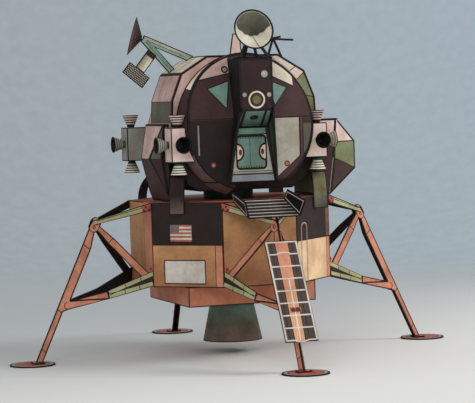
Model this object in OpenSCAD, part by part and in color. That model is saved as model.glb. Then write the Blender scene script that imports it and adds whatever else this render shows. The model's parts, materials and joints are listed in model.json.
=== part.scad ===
// Folded card model of a two-stage lunar lander.
// The front, with the hatch, the porch and the ladder, faces -Y. The four legs stand at +X, -X,
// +Y and -Y. The origin lies on the floor, midway between the four footpads.

/* [Card] */
// Thickness of the card
card = 0.6; // [0.4:0.1:1]
// Height between the ascent stage and what it rests above
stage_gap = 0.4; // [0.3:0.1:1]

/* [Descent stage] */
// Half the distance across the flats of the octagonal body
body_apothem = 43.8; // [38:0.1:50]
// Half the width of each face that carries a leg
leg_face_half = 18; // [14:0.1:22]
// Height of the body's underside above the floor
body_bottom = 34.5; // [30:0.1:45]
// Height of the body, from its underside to its deck
body_h = 38.9; // [30:0.1:46]
// Half the side of the square box under the body
lower_box_half = 31; // [26:0.1:34]
// Height of the square box
lower_box_h = 9.3; // [6:0.1:12]
// Diameter of the round collar between the two stages
collar_d = 23.5; // [16:0.1:30]
// Height of the collar
collar_h = 4.2; // [3.5:0.1:8]

/* [Engine bell] */
// Diameter at the lower rim
bell_exit_d = 28.2; // [20:0.1:36]
// Diameter where the bell meets the square box
bell_top_d = 20; // [12:0.1:24]
// Height of the bell
bell_h = 19.4; // [12:0.1:22]

/* [Landing gear] */
// Distance from the middle of the model to the middle of a footpad
pad_reach = 98; // [88:0.5:115]
// Diameter of a footpad
pad_d = 21; // [16:0.1:26]
// Distance from the middle of the model to the knee of a leg
knee_reach = 67.6; // [60:0.1:74]
// Height of the knee above the floor
knee_h = 64.2; // [58:0.1:70]
// Width of the main strut above the lower struts
main_strut_w = 4.2; // [3:0.1:7]
// Width of the side struts
side_strut_w = 3.6; // [3:0.1:6]
// Height above the floor where the lower struts leave the main strut
lower_joint_h = 27; // [22:0.5:32]
// Radius of the rounded ends of the knuckle at the knee
knuckle_r = 2.4; // [2:0.1:3.5]

/* [Porch and ladder] */
// Width of the porch floor
porch_w = 24.4; // [18:0.1:30]
// Height of the porch rails at their front ends
rail_front_h = 7.7; // [5:0.1:10]
// Height of the porch rails at their rear ends
rail_rear_h = 4.8; // [3:0.1:7]
// Width of the ladder
ladder_w = 15.2; // [10:0.1:18]
// Height of the ladder's upper end above the floor
ladder_top = 56.3; // [50:0.1:60]
// Height of the ladder's lower end above the floor
ladder_bottom = 13.9; // [7:0.1:20]

/* [Cabin] */
// Radius of the cabin's face
cabin_face_r = 30.3; // [27:0.1:32]
// Radius of the cabin where it meets the mid-section
cabin_back_r = 33.4; // [30:0.1:34]
// Height of the cabin's axis above the deck
cabin_axis_h = 34.4; // [32:0.1:38]
// Depth of the cabin, from the mid-section to its face
cabin_depth = 9; // [6:0.1:14]
// Half the width of the front tower
tower_half = 8; // [6:0.1:10]
// Distance that the front tower stands out from the cabin's face
tower_depth = 9; // [6:0.1:12]

/* [Mid-section and bays] */
// Distance of the mid-section's front from the middle of the model
mid_front = 27; // [24:0.1:30]
// Depth of the mid-section, front to back
mid_depth = 32; // [26:0.1:36]
// Half the width of the mid-section
mid_half = 35.4; // [33:0.1:38]
// Depth of a side bay, front to back
bay_depth = 28; // [22:0.1:31]
// How far the left bay reaches from the middle of the model
left_bay_reach = 43.2; // [40:0.1:50]
// How far the right bay reaches from the middle of the model
right_bay_reach = 59; // [50:0.1:64]
// Depth of the aft bay
aft_depth = 23; // [18:0.1:26]

/* [Thrusters] */
// Width of a thruster box
quad_w = 8; // [6:0.1:10]
// Depth of a thruster box
quad_depth = 10; // [8:0.1:12]
// Height of a thruster box
quad_h = 16; // [12:0.1:18]
// Diameter of a thruster cone's rim
cone_d = 7.6; // [5:0.1:8.4]
// Length of a thruster cone
cone_l = 5.8; // [4:0.1:7]

/* [Dishes] */
// Diameter of the radar dish above the tower
radar_d = 18.9; // [14:0.1:22]
// Diameter of the steerable dish
steer_d = 18.3; // [14:0.1:22]
// Depth of each dish
dish_depth = 4.6; // [3:0.1:7]

/* [Hidden] */
$fn = 64;
deck = body_bottom + body_h;
lower_box_bottom = body_bottom - lower_box_h;
cabin_z = deck + cabin_axis_h;
mid_back = mid_depth - mid_front;
face_y = -mid_front - cabin_depth;
tower_y = face_y - tower_depth;
cut_over = 0.05;
half_root = sqrt(0.5);

// Which way along Y a thruster quad faces
FRONT = -1;
REAR = 1;

// ---- helpers ----

function unit(v) = v / norm(v);

// A flat plate of card: its 2D shape has its origin at start, x towards run and y towards beside
module plate(start, run, beside) {
    x = unit(run);
    y = unit(beside - x * (beside * x));
    z = cross(x, y);
    multmatrix([[x[0], y[0], z[0], start[0]], [x[1], y[1], z[1], start[1]],
                [x[2], y[2], z[2], start[2]], [0, 0, 0, 1]])
        translate([0, 0, -card / 2]) linear_extrude(card) children();
}

// A flat bar from p to q, in 2D
module bar(p, q, w) {
    turn = atan2(q[1] - p[1], q[0] - p[0]);
    translate(p) rotate(turn) translate([0, -w / 2]) square([norm(q - p), w]);
}

// A flat bar from p to q, in 2D, that widens from w0 to w1 over its first length l
module tapered_bar(p, q, w0, w1, l) {
    run = unit(q - p);
    side = [-run[1], run[0]] / 2;
    polygon([p - side * w0, p + run * l - side * w1, q - side * w1, q + side * w1,
             p + run * l + side * w1, p + side * w0]);
}

// A flat strip from p to q, w wide, lying in the plane that side points along
module strip(p, q, w, side) {
    plate(p, q - p, side) bar([0, 0], [norm(q - p), 0], w);
}

// A prism along Y from y0 to y1, its outline a list of [x, z] points
module prism_y(y0, y1, outline) {
    translate([0, y1, 0]) rotate([90, 0, 0]) linear_extrude(y1 - y0) polygon(outline);
}

// A thin paper cone standing on its small end at the origin and opening along +Z
module paper_cone(d, l, neck_d, t = 0.4) {
    rotate_extrude() polygon([[0, 0], [neck_d / 2, 0], [d / 2, l], [d / 2 - t, l],
                              [neck_d / 2 - t, t], [0, t]]);
}

// ---- descent stage ----

octagon = [for (turn = [0:90:270], end = [-1, 1])
               [cos(turn) * body_apothem - sin(turn) * end * leg_face_half,
                sin(turn) * body_apothem + cos(turn) * end * leg_face_half]];

module descent_body() {
    color("#b98a4a") translate([0, 0, body_bottom]) linear_extrude(body_h) polygon(octagon);
}

module lower_box() {
    color("#c98a55") translate([-lower_box_half, -lower_box_half, lower_box_bottom])
        cube([2 * lower_box_half, 2 * lower_box_half, lower_box_h]);
}

module engine_bell() {
    bottom = lower_box_bottom - bell_h;
    color("#4d5a48") translate([0, 0, bottom]) difference() {
        cylinder(h = bell_h, d1 = bell_exit_d, d2 = bell_top_d);
        translate([0, 0, -cut_over]) cylinder(h = bell_h - card + cut_over, d1 = bell_exit_d - 2 * card,
                                          d2 = bell_top_d - 2 * card);
    }
}

module stage_collar() {
    color("#2f4a40") translate([0, 0, deck]) cylinder(h = collar_h, d = collar_d);
}

// ---- landing gear ----

foot = [pad_reach - 1.5, 0, card];
knee = [knee_reach, 0, knee_h];
top_corner = [body_apothem, leg_face_half, deck - side_strut_w / 2];
bottom_corner = [body_apothem, leg_face_half, body_bottom + side_strut_w / 2];
// Share of the way from the lower joint to the body that the plain part of the lower strut takes
truss_start = 0.5;
truss_h = 7.6;
tab_w = 6;
// Shares of a strut's full width that are left at the knee, and below the lower strut
knee_taper = 0.55;
low_taper = 0.68;
taper_l = 11;
// The knuckle's middle, off the fold, and half the distance between its rounded ends
knuckle_y = 1.9;
knuckle_reach = 1.2;

// The place of a point in a plate's own 2D frame
function flat(point, start, x, y) = [(point - start) * x, (point - start) * y];

// One side of a leg: a card plate folded along the line from the knee to the foot
module leg_side(side) {
    body_end = [bottom_corner[0], side * bottom_corner[1], bottom_corner[2]];
    x = unit(foot - knee);
    y = unit((body_end - knee) - x * ((body_end - knee) * x));
    main_l = norm(foot - knee);
    joint = [main_l * (knee_h - lower_joint_h) / (knee_h - card), main_strut_w / 2];
    low = flat(body_end, knee, x, y);
    foot_end = flat(body_end - [0, 0, side_strut_w / 2 - 0.4], knee, x, y);
    high = flat(body_end + [0, 0, truss_h - side_strut_w / 2], knee, x, y);
    tip = joint + (low - joint) * truss_start;
    low_run = unit(low - joint);
    across = [-low_run[1], low_run[0]] * side_strut_w / 2;
    plate(knee, x, y) {
        polygon([[0, 0], [main_l, 0], [main_l, main_strut_w * low_taper],
                 [joint[0] + 2, main_strut_w * low_taper], [joint[0] + 1, main_strut_w],
                 [taper_l, main_strut_w], [0, main_strut_w * knee_taper]]);
        tapered_bar([0, knuckle_y], low, side_strut_w * knee_taper, side_strut_w, taper_l);
        bar(joint, tip, side_strut_w);
        polygon([tip + across, high, foot_end, tip - across]);
        bar([-knuckle_reach, knuckle_y], [knuckle_reach, knuckle_y], 2 * knuckle_r);
        for (end = [-1, 1]) translate([end * knuckle_reach, knuckle_y]) circle(r = knuckle_r, $fn = 32);
    }
    roof_end = [top_corner[0], side * top_corner[1], top_corner[2]];
    roof_run = roof_end + unit(roof_end - knee) - knee;
    plate(knee, roof_run, body_end - knee)
        tapered_bar([0, 0], [norm(roof_run), 0], side_strut_w * knee_taper, side_strut_w, norm(roof_run));
}

// The leg at +X, cut off where it is glued to the body's face and corners
module leg() {
    reach = pad_reach;
    intersection() {
        union() {
            for (side = [-1, 1]) leg_side(side);
            translate([pad_reach - 5, -tab_w / 2, card]) cube([5, tab_w, card]);
        }
        translate([body_apothem, -reach / 2, card]) cube([reach, reach, deck]);
    }
}

module leg_at(turn) {
    color("#c9714a") rotate([0, 0, turn]) leg();
}

module footpad_at(turn) {
    color("#8a3a30") rotate([0, 0, turn]) translate([pad_reach, 0, 0]) cylinder(h = card, d = pad_d);
}

// The front leg is trimmed under the porch, which is glued on top of it
module front_leg() {
    difference() {
        leg_at(-90);
        for (rise = [0, card]) translate([0, 0, rise]) porch_floor();
    }
}

module left_leg() { leg_at(180); }
module right_leg() { leg_at(0); }
module rear_leg() { leg_at(90); }
module front_footpad() { footpad_at(-90); }
module left_footpad() { footpad_at(180); }
module right_footpad() { footpad_at(0); }
module rear_footpad() { footpad_at(90); }

// ---- porch and ladder ----

porch_rear = [0, -body_apothem - card / 2, deck + card / 2];
porch_front = [0, -knee_reach + 3.7, knee_h + 2.6];

module porch_floor() {
    strip(porch_rear, porch_front, porch_w, [1, 0, 0]);
}

module porch() {
    run = porch_front - porch_rear;
    color("#2b2b2b") {
        porch_floor();
        for (side = [-1, 1])
            plate(porch_rear + [side * porch_w / 2, 0, 0], run, [side * 0.25, 0, 1])
                polygon([[0, 0], [norm(run), 0], [norm(run), rail_front_h], [0, rail_rear_h]]);
    }
}

ladder_x = -0.4;
ladder_top_y = -knee_reach - 4.2;
ladder_foot_y = -pad_reach + 2.4;

module ladder() {
    color("#3a2f2c") strip([ladder_x, ladder_top_y, ladder_top], [ladder_x, ladder_foot_y, ladder_bottom],
                           ladder_w, [1, 0, 0]);
}

// ---- plume deflectors ----

deflector_w = 7.6;
deflector_rise = 11.6;
front_bend_r = 44;
rear_bend_r = 14;
front_right_turn = 35;
deflector_hang = 5.5;
deflector_shift = 4.5;

// A curved plate of the card's thickness: an arc of outer radius r from 0 up to sweep degrees
module curved_plate(r, sweep, w) {
    linear_extrude(w) intersection() {
        difference() {
            circle(r = r, $fn = 180);
            circle(r = r - card, $fn = 180);
        }
        polygon([[0, 0], [2 * r, 0], [2 * r * cos(sweep), 2 * r * sin(sweep)]]);
    }
}

// A strip glued outside the slanting face at +X +Y, bending inwards above the deck, and turned
// outwards about its edge on the Y side
module deflector(bend_r, turn) {
    face = (body_apothem + leg_face_half) * half_root;
    rotate([0, 0, 45]) translate([face, deflector_w / 2 - deflector_shift, deck]) rotate([0, 0, turn])
            translate([0, -deflector_w, 0]) {
        translate([0, 0, -deflector_hang]) cube([card, deflector_w, deflector_hang]);
        translate([card - bend_r, deflector_w, 0]) rotate([90, 0, 0])
            curved_plate(bend_r, asin(deflector_rise / bend_r), deflector_w);
    }
}

module deflector_at(side_x, side_y, turn = 0) {
    color("#57623f") scale([side_x, side_y, 1])
        deflector(side_y == FRONT ? front_bend_r : rear_bend_r, turn);
}

module front_left_deflector() { deflector_at(-1, -1); }
module front_right_deflector() { deflector_at(1, -1, front_right_turn); }
module rear_left_deflector() { deflector_at(-1, 1); }
module rear_right_deflector() { deflector_at(1, 1); }

// ---- ascent stage ----

cabin_bottom = deck + 8.4;
fold_h = deck + 37.6;
cabin_top = deck + 64;
cabin_lean = atan((cabin_depth - 1.5) / (cabin_top - fold_h));

// Side of a block used for cutting, larger than any piece of the ascent stage
cutter = 100;

module below_cabin() {
    translate([-cutter / 2, -cutter, cabin_bottom - cutter]) cube(cutter);
}

// The cabin's drum: a cone from the mid-section to the face, cut flat below, and its face leans
// back above the fold
module cabin_solid() {
    difference() {
        translate([0, -mid_front, cabin_z]) rotate([90, 0, 0])
            cylinder(h = cabin_depth, r1 = cabin_back_r, r2 = cabin_face_r);
        below_cabin();
        translate([-cutter / 2, face_y, fold_h]) rotate([-cabin_lean, 0, 0])
            translate([0, -cutter, 0]) cube(cutter);
    }
}

module cabin() {
    color("#3b2c2a") cabin_solid();
}

tower_top = deck + 64.8;
tower_step = deck + 41;
ceiling_drop = 7.6;
sill_half = 12;

// The front tower: a block with a sloping underside, over two walls that taper down to the sill
module front_tower() {
    wall_run = [sill_half - tower_half, tower_depth - card, cabin_bottom - tower_step];
    color("#33272a") difference() {
        union() {
            translate([-tower_half, 0, 0]) rotate([90, 0, 90]) linear_extrude(2 * tower_half)
                polygon([[tower_y, tower_top], [-mid_front, tower_top],
                         [-mid_front, tower_step - ceiling_drop], [face_y - card, tower_step - ceiling_drop],
                         [tower_y, tower_step]]);
            for (side = [-1, 1])
                plate([side * (tower_half - card / 2), tower_y, tower_step],
                      [side * wall_run[0], wall_run[1], wall_run[2]], [0, 1, 0])
                    square([norm(wall_run), tower_depth + 6]);
        }
        cabin_solid();
        translate([-cutter / 2, face_y, fold_h - cutter]) cube(cutter);
        below_cabin();
    }
}

// The card between the tower's walls, with the hatch printed on it
module hatch() {
    top_half = tower_half - 2 * card;
    bottom_half = sill_half - 2 * card;
    color("#3f7266") translate([0, face_y, 0]) rotate([90, 0, 0]) linear_extrude(card)
        polygon([[-bottom_half, cabin_bottom], [bottom_half, cabin_bottom],
                 [top_half, tower_step - ceiling_drop], [-top_half, tower_step - ceiling_drop]]);
}

// Half outline of the mid-section from its top to its underside, as [x, height above the deck]
mid_outline_half = [[17.3, 66.9], [30.2, 59], [mid_half - 0.4, 46.8], [mid_half, 40], [mid_half, 22],
                    [mid_half - 7, 8], [mid_half - 13, collar_h + stage_gap]];

function both_sides(half) = concat([for (p = half) [p[0], deck + p[1]]],
                                   [for (i = [len(half) - 1:-1:0]) [-half[i][0], deck + half[i][1]]]);

module mid_solid() {
    prism_y(-mid_front, mid_back, both_sides(mid_outline_half));
}

module mid_section() {
    color("#cbb0a6") mid_solid();
}

// A gem-shaped bay on the side of the mid-section. Each row of the table is a level:
// [height above the deck, reach at the front and back edges, reach at the middle of the bay]
module bay(levels, ridge) {
    back = mid_back;
    front = back - bay_depth;
    middle = (front + back) / 2;
    hull() for (level = levels) translate([0, 0, deck + level[0]]) {
        translate([mid_half, front, 0]) cube([level[1] - mid_half, bay_depth, 0.01]);
        translate([mid_half, middle - ridge / 2, 0]) cube([level[2] - mid_half, ridge, 0.01]);
    }
}

module left_bay() {
    reach = left_bay_reach;
    color("#c7a294") scale([-1, 1, 1])
        bay([[36, reach - 5, reach - 5], [20.3, reach - 4, reach], [4, reach - 6, reach - 6],
             [stage_gap, reach - 7.5, reach - 7.5]], 13);
}

module right_bay() {
    reach = right_bay_reach;
    color("#8b9a72")
        bay([[36, reach - 12, reach - 12], [25, reach - 13, reach], [12, reach - 14, reach],
             [stage_gap, reach - 16, reach - 16]], 13);
}

aft_half = 31;
aft_outline_half = [[13, 58], [24, 54], [aft_half, 34], [aft_half, 20], [20, 8]];

module aft_solid() {
    prism_y(mid_back, mid_back + aft_depth, both_sides(aft_outline_half));
}

module aft_bay() {
    color("#6f6a63") aft_solid();
}

quad_bottom = cabin_z - quad_h;
quad_front_x = max(mid_half, cabin_back_r + 2) + 2.5;
quad_front_y = face_y + 2;
quad_rear_x = aft_half + 11;
quad_rear_y = mid_back + aft_depth + 6;
// How much wider a box is, inwards, before it is cut to fit what carries it
quad_root = 5;
cone_neck = 3;
// How far the upper and lower cones stand in front of a box's middle
cone_shift = 2.2;

// A thruster box with its outer face at y = face, and four paper cones. Its inner side is cut to
// fit the cabin and the bays behind it
module quad(side_x, side_y, outer_x, face) {
    mid_z = quad_bottom + quad_h / 2;
    middle_y = face - side_y * quad_depth / 2;
    cone_x = outer_x - quad_w / 2;
    cone_y = middle_y + side_y * cone_shift;
    inner_x = outer_x - quad_w - quad_root;
    scale([side_x, 1, 1]) difference() {
        union() {
            translate([inner_x, middle_y - quad_depth / 2, quad_bottom])
                cube([outer_x - inner_x, quad_depth, quad_h]);
            translate([cone_x, cone_y, quad_bottom + quad_h]) quad_cone();
            translate([cone_x, cone_y, quad_bottom]) rotate([180, 0, 0]) quad_cone();
            translate([outer_x, middle_y, mid_z]) rotate([0, 90, 0]) quad_cone();
            translate([cone_x, face, mid_z]) rotate([-side_y * 90, 0, 0]) quad_cone();
        }
        cabin_solid();
        mid_solid();
        aft_solid();
    }
}

module quad_cone() {
    paper_cone(cone_d, cone_l, cone_neck);
}

module front_quad(side_x) {
    color("#c9a59a") quad(side_x, FRONT, quad_front_x, quad_front_y);
}

module rear_quad(side_x) {
    color("#8a9486") quad(side_x, REAR, quad_rear_x, quad_rear_y);
}

module front_left_quad() { front_quad(-1); }
module front_right_quad() { front_quad(1); }
module rear_left_quad() { rear_quad(-1); }
module rear_right_quad() { rear_quad(1); }

// ---- dishes and antennas ----

radar_tilt = 16;
radar_rim = [0, tower_y + 1, tower_top + 13.2];
radar_neck = radar_rim + [0, cos(radar_tilt), -sin(radar_tilt)] * dish_depth;

// The radar dish: a paper cone that faces forwards and a little up
module radar_dish() {
    color("#a9b493") translate(radar_neck) rotate([90 - radar_tilt, 0, 0]) paper_cone(radar_d, dish_depth, 2);
}

stand_feet = [[-7, 1.5], [-3.2, 7], [3.2, 7], [7, 1.5]];

module radar_stand() {
    hub = radar_neck + [0, card, 0];
    color("#27352d") {
        translate([-tower_half, tower_y, tower_top]) cube([2 * tower_half, 8, card]);
        translate(hub) cube([2.4, card, 2.4], center = true);
        for (at = stand_feet)
            strip([at[0], tower_y + at[1], tower_top + card / 2], hub, 1.2, [1, 0, 0]);
    }
}

steer_tilt = 16;
steer_turn = 18.6;
steer_neck = [-42, -6, deck + 76];

// The steerable dish: a paper cone that faces left, a little to the back and a little up
module steerable_dish() {
    color("#43343a") translate(steer_neck) rotate([0, 0, -steer_turn]) rotate([0, steer_tilt - 90, 0])
        paper_cone(steer_d, dish_depth, 2);
}

arm_w = 3.2;
arm_start = steer_neck + [0.5, 0, 0];
arm_upper_end = [-18, -6, deck + 65.8];
arm_lower_end = [-27.5, -6, deck + 60];

module steerable_arm() {
    color("#8fae98") difference() {
        union() {
            strip(arm_start, arm_upper_end, arm_w, [0, 0, 1]);
            strip(arm_start, arm_lower_end, arm_w, [0, 0, 1]);
        }
        mid_solid();
    }
}

// A dotted panel that hangs on a card strip from the lower arm
lattice_mid = [-45.5, -6, deck + 59.1];
lattice_strip_end = [-37.2, -6, deck + 69.3];

module lattice_panel() {
    color("#2e2a28") translate([0, -card, 0]) {
        plate(lattice_mid, [9.2, 0, -7.7], [0, 0, 1]) square([12, 5.9], center = true);
        strip(lattice_mid, lattice_strip_end, 4.9, [0, 0, 1]);
    }
}

// Thin strips on the roof's front edge: two legs and two arms
antenna_y = 1 - mid_front;
antenna_top = [15.6, antenna_y, deck + 74.2];

module inflight_antenna() {
    thin = 0.9;
    color("#1f1f1f") difference() {
        union() {
            strip([13, antenna_y, deck + 66.5], antenna_top, thin, [1, 0, 0]);
            strip([19.6, antenna_y, deck + 65], antenna_top, thin, [1, 0, 0]);
            strip(antenna_top, [19.3, antenna_y, deck + 74.8], thin, [0, 0, 1]);
            strip(antenna_top - [0, 0, 0.4], [25.5, antenna_y, deck + 73.2], thin, [0, 0, 1]);
        }
        mid_solid();
    }
}

module top_antenna_card() {
    color("#d8b7a5") translate([0, 7 - mid_front, deck + mid_outline_half[0][1]]) rotate([90, 0, 0])
        linear_extrude(card) polygon([[-4, 0], [2, 0], [1, 10], [-2.3, 10]]);
}

descent_body();
lower_box();
engine_bell();
stage_collar();
front_leg();
left_leg();
right_leg();
rear_leg();
front_footpad();
left_footpad();
right_footpad();
rear_footpad();
porch();
ladder();
front_left_deflector();
front_right_deflector();
rear_left_deflector();
rear_right_deflector();
cabin();
front_tower();
hatch();
mid_section();
left_bay();
right_bay();
aft_bay();
front_left_quad();
front_right_quad();
rear_left_quad();
rear_right_quad();
radar_dish();
radar_stand();
steerable_dish();
steerable_arm();
lattice_panel();
inflight_antenna();
top_antenna_card();
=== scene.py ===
"""Finish of a folded card model of a lunar lander: printed card, inked folds and painted panels.

Lengths in this file are in millimetres, and become metres when a mesh is made.
"""

import json
import math

import bmesh
import bpy
import numpy as np
from bpy.props import FloatProperty, FloatVectorProperty, IntProperty, PointerProperty
from mathutils import Matrix, Vector


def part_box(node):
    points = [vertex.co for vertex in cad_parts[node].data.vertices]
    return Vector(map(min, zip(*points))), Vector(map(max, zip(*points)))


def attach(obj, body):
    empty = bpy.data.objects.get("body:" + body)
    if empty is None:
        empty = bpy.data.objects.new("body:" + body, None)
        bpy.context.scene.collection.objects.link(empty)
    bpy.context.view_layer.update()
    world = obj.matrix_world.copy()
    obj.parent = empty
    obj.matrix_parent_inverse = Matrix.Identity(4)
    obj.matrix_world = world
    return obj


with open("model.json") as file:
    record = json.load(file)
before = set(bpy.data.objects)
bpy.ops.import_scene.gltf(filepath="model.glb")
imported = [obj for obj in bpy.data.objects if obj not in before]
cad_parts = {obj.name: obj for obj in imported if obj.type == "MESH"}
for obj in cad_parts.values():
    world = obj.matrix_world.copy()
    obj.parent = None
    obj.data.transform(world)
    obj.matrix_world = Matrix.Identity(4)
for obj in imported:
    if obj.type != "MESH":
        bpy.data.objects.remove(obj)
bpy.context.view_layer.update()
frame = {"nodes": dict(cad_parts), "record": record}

bl_info = {
    "name": "Card Lander Finish",
    "version": (1, 0, 0),
    "blender": (4, 5, 0),
    "location": "View3D > Sidebar > Card Lander",
    "description": "Prints panels, ink lines and card finishes on a folded card model of a lunar lander",
    "category": "Object",
}

MM = 0.001
WELD = 2e-6
DESCENT = "descent_stage"
ASCENT = "ascent_stage"


def srgb(code):
    """A colour written as a web code, as linear red, green and blue."""
    values = [int(code[i:i + 2], 16) / 255 for i in (1, 3, 5)]
    return tuple(v / 12.92 if v <= 0.04045 else ((v + 0.055) / 1.055) ** 2.4 for v in values)


PALETTE = {
    "ink": ("#15100f", "Ink of the folds and outlines"),
    "black": ("#0d0b0b", "Unprinted inner side of the struts and the insides of the cones"),
    "dark_brown": ("#2b1d1a", "Upper side panels of the descent stage"),
    "brown": ("#463030", "Cabin and lower facets"),
    "tower_brown": ("#2e1c1c", "Front of the tower"),
    "ochre": ("#c8986a", "Lower side panels of the descent stage"),
    "ochre_deep": ("#ab7650", "Shaded part of the ochre panels"),
    # Lit copy of the ochre: painted light on the slanting face at the right front, which faces the lamp.
    "ochre_pale": ("#eccaa2", "Palest ochre panel"),
    "orange": ("#d08c70", "Corner posts and struts"),
    "orange_deep": ("#b0654f", "Shaded part of the orange struts"),
    "peach": ("#d9a882", "Deck and strut ends"),
    "box_orange": ("#c9856a", "Square box"),
    "red": ("#b5574c", "Footpads and bolted blocks"),
    "dark_red": ("#5d2523", "Bolts"),
    "leaf": ("#b0b488", "Upper struts and truss chords"),
    "teal": ("#7ea79d", "Windows"),
    "hatch_green": ("#71958a", "Hatch"),
    "wall_green": ("#34564a", "Inner walls of the tower"),
    "ceiling_green": ("#719686", "Sloping underside of the tower"),
    "sill_blue": ("#8f9ba3", "Sill under the hatch"),
    "pale_panel": ("#b5b5a8", "Pale cabin panel and hatch surround"),
    "pink": ("#cdb0a9", "Pink panels"),
    "pink_pale": ("#e6d0ca", "Palest pink panels"),
    "cream": ("#e8e0cf", "Cream panels and white lines"),
    "grey": ("#9c9f96", "Rear thruster boxes"),
    "grey_green": ("#65685a", "Green-grey panels"),
    "meadow": ("#7f8a66", "Light green panels"),
    "olive": ("#7a7a50", "Olive panels"),
    "mauve": ("#6f5f5d", "Rolled edge under the cabin"),
    "white": ("#d6d2cc", "Ladder rails, plank lines and the blank sign"),
    "flag_red": ("#b5705f", "Flag stripes"),
    "flag_blue": ("#7c7474", "Flag canton"),
    "dish_cream": ("#d2d3bf", "Inside of the radar dish"),
    "dish_dark": ("#3c3d36", "Dark area of the radar dish"),
    "arm_green": ("#90a89a", "Antenna arms"),
    "slate": ("#4b403a", "Ladder ground"),
}


class LanderPaint(bpy.types.PropertyGroup):
    """The paints of the printed card."""

    __annotations__ = {
        name: FloatVectorProperty(
            name=name.replace("_", " ").capitalize(), description=text, subtype="COLOR",
            size=3, min=0, max=1, default=srgb(code))
        for name, (code, text) in PALETTE.items()
    }


class LanderInk(bpy.types.PropertyGroup):
    """Widths of the printed lines, in millimetres."""

    fold: FloatProperty(name="Fold", description="Ink along each fold and cut edge", default=0.42, min=0)
    outline: FloatProperty(name="Outline", description="Heavy outline of the ascent stage", default=0.95,
                           min=0)
    panel: FloatProperty(name="Panel", description="Thin line between panels", default=0.32, min=0)
    layer: FloatProperty(name="Layer", description="Height of one printed layer", default=0.03, min=0)


class LanderStage(bpy.types.PropertyGroup):
    """Light and surroundings."""

    key_power: FloatProperty(name="Key light", description="Power of the large lamp at the right",
                             default=7.5, min=0, unit="POWER")
    fill_power: FloatProperty(name="Fill light", description="Power of the lamp in front",
                              default=3.0, min=0, unit="POWER")
    world_light: FloatProperty(name="World light", description="Strength of the light from all around",
                               default=0.55, min=0)
    # The two floor colours paint light: pale where the lamp lights the floor, darker and bluer at the back.
    floor: FloatVectorProperty(name="Floor", description="Colour of the floor", subtype="COLOR",
                               size=3, default=srgb("#e6e6e2"))
    floor_far: FloatVectorProperty(name="Floor, far", description="Colour of the floor at the back",
                                   subtype="COLOR", size=3, default=srgb("#b6bcbf"))
    wall_left: FloatVectorProperty(name="Backdrop, left", description="Backdrop at the left",
                                   subtype="COLOR", size=3, default=srgb("#9ca2a5"))
    wall_right: FloatVectorProperty(name="Backdrop, right", description="Backdrop at the right",
                                    subtype="COLOR", size=3, default=srgb("#a3b2bb"))


def paint(name):
    """A paint's linear colour from the scene's settings."""
    return tuple(getattr(bpy.context.scene.lander_paint, name))


def ink():
    """The widths of the printed lines from the scene's settings."""
    return bpy.context.scene.lander_ink


# ---- sizes of the model ----

def box_mm(node):
    """Lowest and highest corners of a CAD node, in millimetres."""
    low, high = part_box(node)
    return np.array(low) / MM, np.array(high) / MM


# The other sizes are those of the CAD part.
CARD = 0.6
BODY_LOW, BODY_HIGH = box_mm("descent_body")
APOTHEM = BODY_HIGH[0]
BOTTOM, DECK = BODY_LOW[2], BODY_HIGH[2]
BODY_H = DECK - BOTTOM
LEG_FACE_HALF = 18.0
SLANT_HALF = (APOTHEM - LEG_FACE_HALF) * math.sqrt(0.5)
SLANT_REACH = (APOTHEM + LEG_FACE_HALF) * math.sqrt(0.5)
BODY_SPLIT = BODY_H / 2

PAD_REACH = 98.0
PAD_LOW, PAD_HIGH = box_mm("right_footpad")
PAD_R = (PAD_HIGH[0] - PAD_LOW[0]) / 2
KNEE = np.array([67.6, 0, 64.2])
FOOT = np.array([PAD_REACH - 1.5, 0, CARD])
MAIN_W = 4.2
SIDE_W = 3.6
KNEE_TAPER = 0.55
LOW_TAPER = 0.68
TAPER_L = 11.0
LOWER_JOINT_H = 27.0
TRUSS_START = 0.5
TRUSS_H = 7.6
KNUCKLE_R = 2.4
KNUCKLE_Y = 1.9
KNUCKLE_REACH = 1.2

PORCH_HALF = 12.2
PORCH_REAR = np.array([0, -APOTHEM - CARD / 2, DECK + CARD / 2])
PORCH_FRONT = np.array([0, -KNEE[0] + 3.7, KNEE[2] + 2.6])
LADDER_HALF = 7.6
LADDER_TOP = np.array([-0.4, -KNEE[0] - 4.2, 56.3])
LADDER_FOOT = np.array([-0.4, -PAD_REACH + 2.4, 13.9])

MID_LOW, MID_HIGH = box_mm("mid_section")
MID_FRONT = -MID_LOW[1]
FACE_Y = box_mm("cabin")[0][1]
CABIN_DEPTH = -MID_FRONT - FACE_Y
CABIN_Z = DECK + 34.4
CABIN_BACK_R = 33.4
CABIN_FACE_R = 30.3
FOLD_Z = DECK + 37.6
CABIN_TOP = DECK + 64
CABIN_TOP_DEPTH = 1.5
CABIN_LEAN = math.atan((CABIN_DEPTH - CABIN_TOP_DEPTH) / (CABIN_TOP - FOLD_Z))
# Right half of the mid-section's outline, from the top down to the floor: x and height above the deck.
MID_OUTLINE = np.array([[17.3, 66.9], [30.2, 59], [35, 46.8], [35.4, 40], [35.4, 22], [28.4, 8],
                        [22.4, MID_LOW[2] - DECK]])
TOWER_LOW, TOWER_HIGH = box_mm("front_tower")
TOWER_HALF = 8.0
TOWER_STEP = DECK + 41
CEILING_DROP = 7.6
HATCH_Y = FACE_Y - CARD

QUAD_DEPTH = 10.0
QUAD_H = 16.0
QUAD_W = 8.0
FRONT_QUAD_X = 37.9
REAR_QUAD_X = 42.0
FRONT_QUAD_Y = FACE_Y + 2
REAR_QUAD_Y = box_mm("aft_bay")[1][1] + 6
CONE_R = 3.8
CONE_L = 5.8
CONE_NECK = 1.5
CONE_SHIFT = 2.2

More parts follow.
